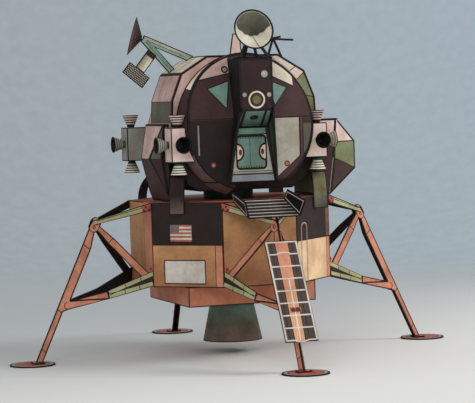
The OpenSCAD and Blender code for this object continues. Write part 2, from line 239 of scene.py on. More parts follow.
RADAR_TILT = math.radians(16)
RADAR_R = 9.45
RADAR_RIM = np.array([0, TOWER_LOW[1] + 1, TOWER_HIGH[2] + 13.2])
DISH_DEPTH = 4.6
ARM_Y = -6
ARM_START = np.array([-41.5, ARM_Y, DECK + 76])
ARM_UPPER_END = np.array([-18, ARM_Y, DECK + 65.8])
ARM_LOWER_END = np.array([-27.5, ARM_Y, DECK + 60])
LATTICE_Y = ARM_Y - CARD
LATTICE_MIDDLE = np.array([-45.5, LATTICE_Y, DECK + 59.1])
LATTICE_STRIP_END = np.array([-37.2, LATTICE_Y, DECK + 69.3])

LEGS = (("right", 0), ("rear", 90), ("left", 180), ("front", 270))
LOOK_AT = Vector((0, 0, 0.07))


# ---- surfaces to print on ----

def unit(v):
    """The vector, made one long."""
    v = np.asarray(v, float)
    return v / np.linalg.norm(v)


class Flat:
    """A flat face: a point is its origin plus x along it, plus y up it, plus a lift outwards."""

    def __init__(self, origin, along, up, outside=None):
        self.origin = np.asarray(origin, float)
        self.along = unit(along)
        up = np.asarray(up, float)
        self.up = unit(up - self.along * (up @ self.along))
        self.out = np.cross(self.along, self.up)
        if outside is not None and self.out @ np.asarray(outside, float) < 0:
            self.out = -self.out

    def place(self, points, lift):
        x, y = points[..., :1], points[..., 1:]
        return self.origin + x * self.along + y * self.up + lift * self.out

    def normal(self, points):
        return np.broadcast_to(self.out, points.shape[:-1] + (3,))


class Roll:
    """Rolled card: x is the angle round the axis in degrees, y the distance along the axis, and
    the radius goes evenly from r0 to r1 over the length. side is 1 outside and -1 inside."""

    def __init__(self, base, axis, zero, r0, r1, length, side=1):
        self.base, self.axis = np.asarray(base, float), unit(axis)
        zero = np.asarray(zero, float)
        self.zero = unit(zero - self.axis * (zero @ self.axis))
        self.quarter = np.cross(self.axis, self.zero)
        self.r0, self.slope, self.side = r0, (r1 - r0) / length, side

    def radial(self, points):
        turn = np.radians(points[..., :1])
        return np.cos(turn) * self.zero + np.sin(turn) * self.quarter

    def normal(self, points):
        n = self.radial(points) - self.slope * self.axis
        return self.side * n / np.linalg.norm(n, axis=-1, keepdims=True)

    def place(self, points, lift):
        y = points[..., 1:]
        return (self.base + y * self.axis + (self.r0 + self.slope * y) * self.radial(points)
                + lift * self.normal(points))


class Dish:
    """The hollow of a dish: x and y lie in the rim's plane, and depth falls evenly to the middle."""

    def __init__(self, rim_centre, facing, up, radius, depth):
        self.centre, self.facing = np.asarray(rim_centre, float), unit(facing)
        up = np.asarray(up, float)
        self.up = unit(up - self.facing * (up @ self.facing))
        self.along = np.cross(self.up, self.facing)
        self.radius, self.depth = radius, depth

    def normal(self, points):
        return np.broadcast_to(self.facing, points.shape[:-1] + (3,))

    def place(self, points, lift):
        r = np.linalg.norm(points, axis=-1, keepdims=True)
        fall = self.depth * (1 - r / self.radius)
        x, y = points[..., :1], points[..., 1:]
        return self.centre + x * self.along + y * self.up + (lift - fall) * self.facing


def polyline(points, count):
    """count points spaced evenly along a line through the given points."""
    points = np.asarray(points, float)
    steps = np.linalg.norm(np.diff(points, axis=0), axis=1)
    at = np.concatenate([[0], np.cumsum(steps)])
    want = np.linspace(0, at[-1], count)
    return np.stack([np.interp(want, at, points[:, 0]), np.interp(want, at, points[:, 1])], -1)


def arc(cx, cy, rx, ry, start, end, count=24):
    """Points on an ellipse from one angle to another, in degrees."""
    turn = np.radians(np.linspace(start, end, count))
    return np.stack([cx + rx * np.cos(turn), cy + ry * np.sin(turn)], -1)


def rounded(x0, y0, x1, y1, r):
    """A closed rectangle outline with round corners."""
    corners = [(x1 - r, y1 - r, 0), (x0 + r, y1 - r, 90), (x0 + r, y0 + r, 180), (x1 - r, y0 + r, 270)]
    return np.concatenate([arc(x, y, r, r, a, a + 90, 6) for x, y, a in corners])


class Print:
    """Gathers painted patches and makes them one thin piece, with a paint for each face."""

    def __init__(self):
        self.verts, self.faces, self.paints, self.count = [], [], [], 0

    def add(self, corners, normals, colours):
        """Adds separate faces: corners (n, k, 3), their normals (n, 3) and colours (n, 3)."""
        n, k = corners.shape[:2]
        turn = np.cross(corners[:, 1] - corners[:, 0], corners[:, 2] - corners[:, 0])
        if k == 4:
            turn = turn + np.cross(corners[:, 2] - corners[:, 0], corners[:, 3] - corners[:, 0])
        wrong = np.einsum("ij,ij->i", turn, normals) < 0
        corners = np.where(wrong[:, None, None], corners[:, ::-1], corners)
        self.verts.append(corners.reshape(-1, 3))
        self.faces += (self.count + np.arange(n * k).reshape(n, k)).tolist()
        self.paints.append(np.broadcast_to(colours, (n, 3)))
        self.count += n * k

    def patch(self, face, low, high, colour, second=None, layer=1, rows=1, columns=None):
        """A ruled patch: points run evenly along the line low and the line high, and rows of
        faces join them. With a second paint, the rows go from the first paint to the second."""
        low, high = np.asarray(low, float), np.asarray(high, float)
        if columns is None:
            columns = 1 if isinstance(face, Flat) and len(low) == len(high) == 2 else 24
        low, high = polyline(low, columns + 1), polyline(high, columns + 1)
        if second is not None:
            rows = max(rows, 10)
        share = np.linspace(0, 1, rows + 1)[:, None, None]
        grid = low * (1 - share) + high * share
        at = face.place(grid, layer * ink().layer)
        normal = face.normal(grid)
        corners = np.stack([at[:-1, :-1], at[:-1, 1:], at[1:, 1:], at[1:, :-1]], 2).reshape(-1, 4, 3)
        middle = ((share[1:] + share[:-1]) / 2)
        first = np.array(paint(colour))
        last = np.array(paint(second or colour))
        colours = np.broadcast_to(first * (1 - middle) + last * middle, (rows, columns, 3))
        self.add(corners, normal[:-1, :-1].reshape(-1, 3), colours.reshape(-1, 3))

    def block(self, face, x0, y0, x1, y1, colour, second=None, layer=1, **more):
        """A rectangle of paint."""
        self.patch(face, [(x0, y0), (x1, y0)], [(x0, y1), (x1, y1)], colour, second, layer, **more)

    def facet(self, corners, outside, colour, layer=1):
        """A flat facet of the model, painted over: three or four corners in space."""
        corners = np.asarray(corners, float)
        normal = unit(np.cross(corners[1] - corners[0], corners[2] - corners[0]))
        normal = normal if normal @ np.asarray(outside, float) > 0 else -normal
        self.add((corners + normal * layer * ink().layer)[None], normal[None], paint(colour))

    def seam(self, start, end, outside, width=None, colour="ink", layer=3):
        """A line straight across a facet, between two points in space."""
        start, end = np.asarray(start, float), np.asarray(end, float)
        face = Flat(start, end - start, np.cross(outside, end - start), outside)
        self.line(face, [(0, 0), (np.linalg.norm(end - start), 0)], width, colour, layer)

    def line(self, face, points, width=None, colour="ink", layer=2, closed=False):
        """A ribbon along a line on a flat face: each point is moved to both sides along the
        mitre of its two stretches."""
        points = np.asarray(points, float)
        width = ink().panel if width is None else width
        if closed:
            points = np.concatenate([points, points[:1]])
        run = np.diff(points, axis=0)
        run = run / np.linalg.norm(run, axis=1, keepdims=True)
        side = np.stack([-run[:, 1], run[:, 0]], -1)
        before, after = np.concatenate([side[:1], side]), np.concatenate([side, side[-1:]])
        if closed:
            before[0], after[-1] = side[-1], side[0]
        both = before + after
        mitre = 2 * both / np.maximum(np.sum(both * both, 1, keepdims=True), 0.5)
        strip = np.stack([points - mitre * width / 2, points + mitre * width / 2])
        at = face.place(strip, layer * ink().layer)
        corners = np.stack([at[0, :-1], at[0, 1:], at[1, 1:], at[1, :-1]], 1)
        self.add(corners, face.normal(strip)[0, :-1], paint(colour))

    def ring(self, face, x, y, inner, outer, colour, layer=2, squash=1.0, count=36):
        """A ring or, with no inner radius, a disc, as a grid of angles and two radii."""
        self.patch(face, arc(x, y, inner, inner * squash, 0, 360, count + 1) if inner else
                   [(x, y), (x + 1e-6, y)], arc(x, y, outer, outer * squash, 0, 360, count + 1),
                   colour, layer=layer, columns=count)

    def skin(self, node, rule, layer=0.6):
        """Copies of a node's faces, lifted a hair. rule takes their middles and normals, and
        returns their colours and which of them to take."""
        corners = triangles(node)
        normals = np.cross(corners[:, 1] - corners[:, 0], corners[:, 2] - corners[:, 0])
        size = np.linalg.norm(normals, axis=1)
        keep = size > 1e-9
        corners, normals = corners[keep], normals[keep] / size[keep, None]
        colours, take = rule(corners.mean(1), normals)
        lifted = corners + normals[:, None] * layer * ink().layer
        if take.any():
            self.add(lifted[take], normals[take], colours[take])

    def make(self, name, body):
        """Makes the mesh piece, with the paint as a face attribute, welds its doubles, and gives it the
        printed card and its body.
        """
        mesh = bpy.data.meshes.new(name)
        mesh.from_pydata((np.concatenate(self.verts) * MM).tolist(), [], self.faces)
        layer = mesh.attributes.new("paint", "FLOAT_COLOR", "FACE")
        rgba = np.ones((len(self.faces), 4), np.float32)
        rgba[:, :3] = np.concatenate(self.paints)
        layer.data.foreach_set("color", rgba.ravel())
        work = bmesh.new()
        work.from_mesh(mesh)
        bmesh.ops.remove_doubles(work, verts=work.verts, dist=WELD)
        bmesh.ops.dissolve_degenerate(work, edges=work.edges, dist=WELD / 20)
        work.to_mesh(mesh)
        work.free()
        piece = bpy.data.objects.new(name, mesh)
        bpy.context.scene.collection.objects.link(piece)
        mesh.materials.append(printed_card())
        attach(piece, body)
        return piece


def triangles(node):
    """The corners of a CAD node's triangles, in millimetres, as an (n, 3, 3) array."""
    mesh = frame["nodes"][node].data
    mesh.calc_loop_triangles()
    at = np.zeros(len(mesh.vertices) * 3)
    mesh.vertices.foreach_get("co", at)
    index = np.zeros(len(mesh.loop_triangles) * 3, int)
    mesh.loop_triangles.foreach_get("vertices", index)
    return at.reshape(-1, 3)[index].reshape(-1, 3, 3) / MM


def fold_ribbons(node, width, angle=25.0):
    """Ribbons of ink along every fold and cut edge of a node, inside the faces beside it.

    Faces that meet smoothly form a region. Each edge between two regions gets a strip on both
    sides, and at a corner the strips of one region meet along its mitre."""
    corners = triangles(node)
    points, index = np.unique(np.round(corners.reshape(-1, 3), 4), axis=0, return_inverse=True)
    tri = index.reshape(-1, 3)
    tri = tri[(tri[:, 0] != tri[:, 1]) & (tri[:, 1] != tri[:, 2]) & (tri[:, 2] != tri[:, 0])]
    at = points[tri]
    normals = np.cross(at[:, 1] - at[:, 0], at[:, 2] - at[:, 0])
    size = np.linalg.norm(normals, axis=1)
    tri, normals = tri[size > 1e-7], normals[size > 1e-7] / size[size > 1e-7, None]
    start = tri.ravel()
    end = np.roll(tri, -1, axis=1).ravel()
    owner = np.repeat(np.arange(len(tri)), 3)
    key = np.minimum(start, end) * len(points) + np.maximum(start, end)
    order = np.argsort(key, kind="stable")
    same = key[order][:-1] == key[order][1:]
    one, two = order[:-1][same], order[1:][same]
    smooth = np.einsum("ij,ij->i", normals[owner[one]], normals[owner[two]]) > math.cos(math.radians(angle))
    region = np.arange(len(tri))
    a, b = owner[one[smooth]], owner[two[smooth]]
    for _ in range(200):
        least = np.minimum(region[a], region[b])
        new = region.copy()
        np.minimum.at(new, a, least)
        np.minimum.at(new, b, least)
        new = new[new]
        if (new == region).all():
            break
        region = new
    sharp = np.concatenate([one[~smooth], two[~smooth]])
    if not len(sharp):
        return None
    run = points[end[sharp]] - points[start[sharp]]
    run /= np.linalg.norm(run, axis=1, keepdims=True)
    normal = normals[owner[sharp]]
    inward = np.cross(normal, run)
    size = len(points)
    keys = np.concatenate([region[owner[sharp]] * size + start[sharp],
                           region[owner[sharp]] * size + end[sharp]])
    places, group = np.unique(keys, return_inverse=True)
    total = np.zeros((len(places), 3))
    count = np.zeros(len(places))
    np.add.at(total, group, np.concatenate([inward, inward]))
    np.add.at(count, group, 1)
    length = np.maximum(np.sum(total * total, 1), 0.4)
    mitre = np.where((count == 2)[:, None], 2 * total / length[:, None], 0)
    own = np.concatenate([inward, inward])
    shift = np.where((count == 2)[group][:, None], mitre[group], own)
    half = len(sharp)
    a, b = points[start[sharp]], points[end[sharp]]
    quads = np.stack([a, b, b + width * shift[half:], a + width * shift[:half]], 1)
    return quads, normal


# ---- finishes ----

def socket(group, name, kind, way, default=None):
    """Adds a named input or output to a node group."""
    item = group.interface.new_socket(name=name, in_out=way, socket_type=kind)
    if default is not None:
        item.default_value = default


def watercolour_group():
    """A wash of paint on card: soft blotches, a finer mottle, short streaks and the paper's
    grain. It puts out the paint's colour, its roughness and the grain's height."""
    found = bpy.data.node_groups.get("Watercolour on card")
    if found:
        return found
    group = bpy.data.node_groups.new("Watercolour on card", "ShaderNodeTree")
    socket(group, "Paint", "NodeSocketColor", "INPUT", (0.5, 0.5, 0.5, 1))
    socket(group, "Mottle", "NodeSocketFloat", "INPUT", 1.0)
    socket(group, "Colour", "NodeSocketColor", "OUTPUT")
    socket(group, "Roughness", "NodeSocketFloat", "OUTPUT")
    socket(group, "Height", "NodeSocketFloat", "OUTPUT")
    nodes, links = group.nodes, group.links
    given, result = nodes.new("NodeGroupInput"), nodes.new("NodeGroupOutput")
    place = nodes.new("ShaderNodeTexCoord")

    def noise(scale, detail, stretch=(1, 1, 1)):
        mapping = nodes.new("ShaderNodeMapping")
        mapping.inputs["Scale"].default_value = stretch
        links.new(place.outputs["Object"], mapping.inputs["Vector"])
        texture = nodes.new("ShaderNodeTexNoise")
        texture.inputs["Scale"].default_value = scale
        texture.inputs["Detail"].default_value = detail
        links.new(mapping.outputs["Vector"], texture.inputs["Vector"])
        return texture.outputs["Fac"]

    def math_node(kind, a, b, c=None):
        node = nodes.new("ShaderNodeMath")
        node.operation = kind
        for slot, value in enumerate((a, b, c)):
            if value is None:
                continue
            if isinstance(value, (int, float)):
                node.inputs[slot].default_value = value
            else:
                links.new(value, node.inputs[slot])
        return node.outputs[0]

    def tinted(factor, shade):
        """The paint, multiplied by a shade as far as the factor says."""
        mix = nodes.new("ShaderNodeMix")
        mix.data_type, mix.blend_type = "RGBA", "MULTIPLY"
        links.new(factor, mix.inputs["Factor"])
        mix.inputs["B"].default_value = shade
        return mix

    blotch = noise(95, 3)
    fine = noise(620, 4)
    streak = noise(260, 3, (1, 1, 0.22))
    grain = noise(5200, 2)
    spread = math_node("MULTIPLY_ADD", blotch, 3.2, -1.25)
    spread = math_node("MULTIPLY_ADD", fine, 0.9, spread)
    spread = math_node("MULTIPLY_ADD", streak, 0.9, math_node("ADD", spread, -0.75))
    clamped = nodes.new("ShaderNodeClamp")
    links.new(spread, clamped.inputs["Value"])
    dark = math_node("MULTIPLY", clamped.outputs[0], math_node("MULTIPLY", given.outputs["Mottle"], 0.55))
    deep = tinted(dark, (0.52, 0.42, 0.38, 1))
    links.new(given.outputs["Paint"], deep.inputs["A"])
    warm = tinted(math_node("MULTIPLY", math_node("MULTIPLY", fine, given.outputs["Mottle"]), 0.5),
                  (1.0, 0.9, 0.78, 1))
    links.new(deep.outputs["Result"], warm.inputs["A"])
    links.new(warm.outputs["Result"], result.inputs["Colour"])
    rough = math_node("MULTIPLY_ADD", fine, 0.14, 0.6)
    links.new(rough, result.inputs["Roughness"])
    height = math_node("MULTIPLY_ADD", grain, 0.7, math_node("MULTIPLY", fine, 0.3))
    links.new(height, result.inputs["Height"])
    return group


def card_material(name, colour=None, mottle=1.0, ramp=None):
    """Matt printed card. The paint is one colour, the piece's own paint attribute, or a ramp of
    colours along an axis, between two places in millimetres: (axis, low, high, [(share, paint), ...]).
    The first two entries are the ramp's ends."""
    found = bpy.data.materials.get(name)
    if found:
        return found
    material = bpy.data.materials.new(name)
    material.use_nodes = True
    nodes, links = material.node_tree.nodes, material.node_tree.links
    shader = nodes["Principled BSDF"]
    shader.inputs["Specular IOR Level"].default_value = 0.28
    wash = nodes.new("ShaderNodeGroup")
    wash.node_tree = watercolour_group()
    wash.inputs["Mottle"].default_value = mottle
    if ramp:
        axis, low, high, stops = ramp
        place = nodes.new("ShaderNodeTexCoord")
        split = nodes.new("ShaderNodeSeparateXYZ")
        links.new(place.outputs["Object"], split.inputs[0])
        spread = nodes.new("ShaderNodeMapRange")
        spread.inputs["From Min"].default_value = low * MM
        spread.inputs["From Max"].default_value = high * MM
        links.new(split.outputs[axis], spread.inputs["Value"])
        colours = nodes.new("ShaderNodeValToRGB")
        for i, (at, shade) in enumerate(stops):
            step = colours.color_ramp.elements[i] if i < 2 else colours.color_ramp.elements.new(at)
            step.position, step.color = at, (*paint(shade), 1)
        links.new(spread.outputs["Result"], colours.inputs["Fac"])
        links.new(colours.outputs["Color"], wash.inputs["Paint"])
    elif colour:
        wash.inputs["Paint"].default_value = (*paint(colour), 1)
    else:
        own = nodes.new("ShaderNodeAttribute")
        own.attribute_name = "paint"
        links.new(own.outputs["Color"], wash.inputs["Paint"])
    bump = nodes.new("ShaderNodeBump")
    bump.inputs["Strength"].default_value = 0.35
    bump.inputs["Distance"].default_value = 0.05 * MM
    links.new(wash.outputs["Height"], bump.inputs["Height"])
    links.new(wash.outputs["Colour"], shader.inputs["Base Color"])
    links.new(wash.outputs["Roughness"], shader.inputs["Roughness"])
    links.new(bump.outputs["Normal"], shader.inputs["Normal"])
    return material


def printed_card():
    """Card whose paint is the piece's own attribute, for all that is printed."""
    return card_material("Printed card")


NODE_PAINT = {
    "descent_body": "ochre", "lower_box": "box_orange", "stage_collar": "wall_green",
    "porch": "black", "ladder": "slate", "cabin": "brown", "front_tower": "tower_brown",
    "hatch": "ceiling_green", "mid_section": "pink", "left_bay": "brown", "right_bay": "brown",
    "aft_bay": "grey_green", "radar_dish": "dish_cream", "radar_stand": "wall_green",
    "steerable_dish": "mauve", "steerable_arm": "arm_green", "lattice_panel": "dark_brown",
    "inflight_antenna": "ink", "top_antenna_card": "pink_pale",
}


class LANDER_OT_card(bpy.types.Operator):
    """Give every card piece its printed finish"""

    bl_idname = "lander.card"
    bl_label = "Card finishes"

    def execute(self, context):
        finishes = {"front_quad": card_material("Card, front quads", "pink_pale", 0.6),
                    "rear_quad": card_material("Card, rear quads", "grey"),
                    "leg": card_material("Card, struts", "orange", 1.3),
                    "footpad": card_material("Card, footpads", "red", 1.2)}
        bell_low, bell_high = box_mm("engine_bell")
        finishes["engine_bell"] = card_material("Card, bell", mottle=1.2, ramp=(
            "Z", bell_low[2], bell_high[2], [
                (0.0, "mauve"), (1.0, "wall_green"), (0.14, "mauve"), (0.42, "grey_green"),
                (0.8, "hatch_green")]))
        flap_low, flap_high = box_mm("front_left_deflector")
        finishes["left_deflector"] = card_material("Card, left deflectors", mottle=1.6, ramp=(
            "Z", flap_low[2], flap_high[2], [(0.0, "mauve"), (1.0, "brown"), (0.5, "dark_brown")]))
        finishes["right_deflector"] = card_material("Card, right deflectors", mottle=1.6, ramp=(
            "Z", flap_low[2], flap_high[2], [
                (0.0, "slate"), (1.0, "grey_green"), (0.3, "grey_green"), (0.65, "olive")]))
        dish_low, dish_high = box_mm("steerable_dish")
        finishes["steerable_dish"] = card_material("Card, steerable dish", mottle=1.3, ramp=(
            "X", dish_low[0], dish_high[0], [
                (0.0, "mauve"), (1.0, "black"), (0.35, "brown"), (0.7, "ink")]))
        for name, node in frame["nodes"].items():
            words = name.split("_")
            kinds = [name, words[0] + "_" + words[-1], "_".join(words[1:]), words[-1]]
            finish = next((finishes[kind] for kind in kinds if kind in finishes), None)
            if finish is None:
                finish = card_material("Card, " + name.replace("_", " "), NODE_PAINT[name])
            node.data.materials.clear()
            node.data.materials.append(finish)
        return {"FINISHED"}


class LANDER_OT_folds(bpy.types.Operator):
    """Ink every fold and cut edge"""

    bl_idname = "lander.folds"
    bl_label = "Inked folds"

    def execute(self, context):
        heavy = {"mid_section", "left_bay", "right_bay", "cabin", "front_tower"}
        for body, members in frame["record"]["behaviour"]["bodies"].items():
            for node in members:
                width = ink().outline if node in heavy else ink().fold
                found = fold_ribbons(node, width)
                if found is None:
                    continue
                quads, normals = found
                work = Print()
                work.add(quads + normals[:, None] * 1.6 * ink().layer, normals, paint("ink"))
                work.make(node + "_ink", body)
        return {"FINISHED"}


# ---- descent stage ----

def body_face(turn):
    """A side face of the descent stage's body, its origin at the middle of its lower edge."""
    reach = APOTHEM if turn % 90 == 0 else SLANT_REACH
    out = np.array([math.cos(math.radians(turn)), math.sin(math.radians(turn)), 0])
    return Flat(out * reach + [0, 0, BOTTOM], np.cross([0, 0, 1], out), [0, 0, 1])


def flag(work, face, x0, y0, x1, y1):
    """A small striped flag with a plain canton."""
    stripes = 9
    step = (y1 - y0) / stripes
    work.block(face, x0, y0, x1, y1, "cream", layer=2)
    for i in range(0, stripes, 2):
        work.block(face, x0, y0 + i * step, x1, y0 + (i + 1) * step, "flag_red", layer=3)
    work.block(face, x0, y1 - 4 * step, x0 + (x1 - x0) * 0.42, y1, "flag_blue", layer=4)


class LANDER_OT_body(bpy.types.Operator):
    """Print the descent stage's side panels, blank sign, flag and deck"""

    bl_idname = "lander.body"
    bl_label = "Descent stage panels"

    post_w: FloatProperty(name="Post", description="Width of a corner post", default=12.0, min=0)
    strip_w: FloatProperty(name="Strip", description="Width of the strip on a slanting face", default=4.0)
    sign_w: FloatProperty(name="Sign", description="Width of the blank sign", default=21.0, min=0)
    sign_h: FloatProperty(name="Sign height", description="Height of the blank sign", default=10.7, min=0)

    SIGN_CORNER = (-12.1, 1.7)
    FLAG_BOX = (-8.6, 21.1, 2.4, 28.7)
    TUBE_X, TUBE_TOP, TUBE_HALF, TUBE_BOW = -10.6, 25.6, 3.0, 1.8

    def execute(self, context):
        work = Print()
        half, top, split = SLANT_HALF, BODY_H, BODY_SPLIT
        for turn in (45, 135, 225, 315):
            face = body_face(turn)
            # Painted light: the right-front face, towards the lamp, takes the lit ochre all over. The other
            # slanting faces are painted darker towards the bottom in the shaded ochre.
            low = ("ochre_pale", "ochre_pale") if turn == 315 else ("ochre", "ochre_deep")
            edge = half - self.strip_w
            work.block(face, -half, split, half, top, "dark_brown")
            work.block(face, -half, 0, edge, split, low[1], low[0])
            work.block(face, edge, 0, half, top if turn == 315 else split, "orange")
            work.line(face, [(-half, split), (half, split)], 0.5)
            work.line(face, [(edge, 0), (edge, split)])
        for turn in (0, 90, 180, 270):
            face = body_face(turn)
            half_w = LEG_FACE_HALF
            # Painted shade: each leg face is painted darker towards the bottom in the shaded ochre.
            work.block(face, -half_w, 0, half_w, top, "ochre_deep", "ochre")
            if turn in (0, 180):
                side = 1 if turn == 180 else -1
                inner = side * (half_w - self.post_w)
                x0, x1 = sorted((side * half_w, inner))
                work.block(face, x0, 0, x1, top, "orange", layer=2)
                work.line(face, [(inner, 0), (inner, top)], layer=3)
        face = body_face(225)
        x0, y0 = self.SIGN_CORNER
        outline = rounded(x0, y0, x0 + self.sign_w, y0 + self.sign_h, 0.3)
        work.block(face, x0, y0, x0 + self.sign_w, y0 + self.sign_h, "white", layer=2)
        work.line(face, outline, 0.5, layer=3, closed=True)
        flag(work, face, *self.FLAG_BOX)
        face = body_face(315)
        bow = arc(self.TUBE_X, self.TUBE_TOP, self.TUBE_HALF, self.TUBE_BOW, 180, 0, 9)
        tube = np.concatenate([[(self.TUBE_X - self.TUBE_HALF, 0)], bow, [(self.TUBE_X + self.TUBE_HALF, 0)]])
        work.line(face, tube, 0.9, "brown", layer=3)
        work.line(face, tube, 0.5, "pink", layer=4)
        # The deck is painted in the shaded orange: painted shade where it lies between the two stages.
        deck = Flat([0, 0, DECK], [1, 0, 0], [0, 1, 0])
        a, b = APOTHEM, LEG_FACE_HALF
        work.patch(deck, [(-a, -b), (-b, -a), (b, -a), (a, -b)], [(-a, b), (-b, a), (b, a), (a, b)],
                   "orange_deep", columns=24)
        work.make("descent_body_print", DESCENT)
        return {"FINISHED"}


def turned(points, turn):
    """Points turned about the upright axis by a multiple of 90 degrees."""
    c, s = round(math.cos(math.radians(turn))), round(math.sin(math.radians(turn)))
    points = np.asarray(points, float)
    return points @ np.array([[c, s, 0], [-s, c, 0], [0, 0, 1]])


def leg_plate(turn, side):
    """The outer face of one side of a leg, with the knee at its origin, its x along the main
    strut and its y towards the body, and the place of the body's lower corner on it."""
    corner = np.array([APOTHEM, side * LEG_FACE_HALF, BOTTOM + SIDE_W / 2])
    out = np.array([0, side, 0])
    x = unit(FOOT - KNEE)
    y = (corner - KNEE) - x * ((corner - KNEE) @ x)
    face = Flat(turned(KNEE, turn), turned(x, turn), turned(y, turn), turned(out, turn))
    face.origin = face.origin + face.out * CARD / 2

    def to_flat(point):
        """The place on the face of a point of the unturned leg."""
        return np.array([(point - KNEE) @ x, (point - KNEE) @ unit(y)])

    return face, to_flat


class LANDER_OT_legs(bpy.types.Operator):
    """Print the legs: black inner sides, green upper struts and trusses, knuckles and bolts"""

    bl_idname = "lander.legs"
    bl_label = "Legs"

    def execute(self, context):
        for name, turn in LEGS:
            work = Print()
            across = turned([0, 1, 0], turn)

            def inner(middles, normals):
                """Black on the faces that look at the leg's other side."""
                hidden = (middles @ across) * (normals @ across) < 0
                colours = np.broadcast_to(np.array(paint("black")), middles.shape)
                return colours, hidden

            work.skin(name + "_leg", inner)
            for side in (-1, 1):
                self.plate(work, turn, side)
            work.make(name + "_leg_print", DESCENT)
        return {"FINISHED"}

    def plate(self, work, turn, side):
        """One side of a leg: its strut lines, its truss between two chords, and its knuckle."""
        face, to_flat = leg_plate(turn, side)
        main_l = np.linalg.norm(FOOT - KNEE)
        corner = np.array([APOTHEM, side * LEG_FACE_HALF, BOTTOM + SIDE_W / 2])
        low = to_flat(corner)
        foot_end = to_flat(corner - [0, 0, SIDE_W / 2 - 0.4])
        high = to_flat(corner + [0, 0, TRUSS_H - SIDE_W / 2])
        joint = np.array([main_l * (KNEE[2] - LOWER_JOINT_H) / (KNEE[2] - CARD), MAIN_W / 2])
        tip = joint + (low - joint) * TRUSS_START
        low_w = MAIN_W * LOW_TAPER
        for x, w in ((TAPER_L, MAIN_W), (joint[0] + 2.4, low_w), (main_l - 7, low_w)):
            work.line(face, [(x - 0.5, 0.1), (x + 0.5, w - 0.1)], 0.35)
        run = unit(low)
        cross = np.array([-run[1], run[0]]) * (SIDE_W / 2 - 0.1)
        at = run * TAPER_L + [0, KNUCKLE_Y * 0.8]
        work.line(face, [at - cross, at + cross], 0.35)
        run = unit(low - joint)
        cross = np.array([-run[1], run[0]]) * SIDE_W / 2
        turned_by = math.degrees(math.atan2(run[1], run[0]))
        end_r = SIDE_W / 2 - 0.2
        work.line(face, arc(*(joint + run * 2.4), end_r, end_r, turned_by + 90, turned_by + 270, 14), 0.35)
        work.patch(face, [tip + cross * 0.98, high], [tip - cross * 0.98, foot_end], "dark_brown", layer=1)
        work.line(face, [tip - cross, tip + cross], 0.5)
        for a, b, way in ((tip + cross, high, -1), (tip - cross, foot_end, 1)):
            along = unit(b - a)
            inside = np.array([-along[1], along[0]]) * way
            near, far = a + along * 0.7 + inside * 1.15, b + inside * 1.25
            work.line(face, [near, far], 1.9, "leaf", layer=1.8)
            for share in (0.36, 0.7):
                at = near + (far - near) * share
                work.line(face, [at - inside * 0.95, at + inside * 0.95], 0.35, layer=2.4)
            work.line(face, [near + inside * 0.95, far + inside * 0.95], 0.3, layer=2.4)
        bolt = high - [0.4, 1.4]
        work.ring(face, *bolt, 0, 1.1, "red", layer=2.6, count=20)
        work.ring(face, *bolt, 0, 0.5, "dark_red", layer=3.2, count=16)
        r = KNUCKLE_R - 0.15
        ends = np.concatenate([arc(KNUCKLE_REACH, KNUCKLE_Y, r, r, -90, 90, 16),
                               arc(-KNUCKLE_REACH, KNUCKLE_Y, r, r, 90, 270, 16)])
        work.patch(face, ends[:16], ends[:15:-1], "orange", layer=3, columns=15)
        work.line(face, ends, 0.3, layer=3.6, closed=True)
        for x in (-KNUCKLE_REACH, KNUCKLE_REACH):
            work.ring(face, x, KNUCKLE_Y, 0, 0.85, "dark_red", layer=3.6, count=18)
            work.ring(face, x, KNUCKLE_Y, 0, 0.4, "orange", layer=4.2, count=14)
        self.upper(work, turn, side)

    def upper(self, work, turn, side):
        """The green upper strut, with its middle line and the bolted block at the body."""
        end = np.array([APOTHEM, side * LEG_FACE_HALF, DECK - SIDE_W / 2])
        corner = np.array([APOTHEM, side * LEG_FACE_HALF, BOTTOM + SIDE_W / 2])
        face = Flat(turned(KNEE, turn), turned(end - KNEE, turn), turned(corner - KNEE, turn),
                    turned(np.array([0, side, 0]), turn))
        face.origin = face.origin + face.out * CARD / 2
        length = np.linalg.norm(end - KNEE)

        def half(x):
            """Half the strut's width at x, less the inked edge."""
            return SIDE_W / 2 * (KNEE_TAPER + (1 - KNEE_TAPER) * x / length) - 0.2

        block = length - 4.6
        for x0, x1, shade in ((2.0, block, "leaf"), (block, length - 0.3, "red")):
            work.patch(face, [(x0, -half(x0)), (x1, -half(x1))], [(x0, half(x0)), (x1, half(x1))], shade,
                       layer=1.4)
        work.line(face, [(3, -0.45), (block, -0.55)], 0.3)
        for x, y in ((length - 3.7, 0.8), (length - 2.4, -0.4), (length - 1.2, 0.9)):
            work.ring(face, x, y, 0, 0.6, "dark_red", layer=2.4, count=14)


class LANDER_OT_footpads(bpy.types.Operator):
    """Print the footpads: a black edge, a grey ring and a red middle with two slots"""

    bl_idname = "lander.footpads"
    bl_label = "Footpads"

    def execute(self, context):
        for name, turn in LEGS:
            work = Print()
            way, across = turned([1, 0, 0], turn), turned([0, 1, 0], turn)
            top = Flat(way * PAD_REACH + [0, 0, CARD], way, across, [0, 0, 1])
            work.ring(top, 0, 0, PAD_R - 0.9, PAD_R, "ink", layer=1)
            work.ring(top, 0, 0, PAD_R - 2.3, PAD_R - 0.9, "grey", layer=1)
            work.ring(top, 0, 0, PAD_R - 2.9, PAD_R - 2.3, "ink", layer=1)
            for side in (-1, 1):
                work.block(top, -4.5, side * 3.4 - 0.5, 2.5, side * 3.4 + 0.5, "dark_red", layer=1)
            rim = Roll(way * PAD_REACH, [0, 0, 1], way, PAD_R, PAD_R, CARD)
            work.patch(rim, [(0, 0), (360, 0)], [(0, CARD), (360, CARD)], "ink", columns=48)
            work.make(name + "_footpad_print", DESCENT)
        return {"FINISHED"}


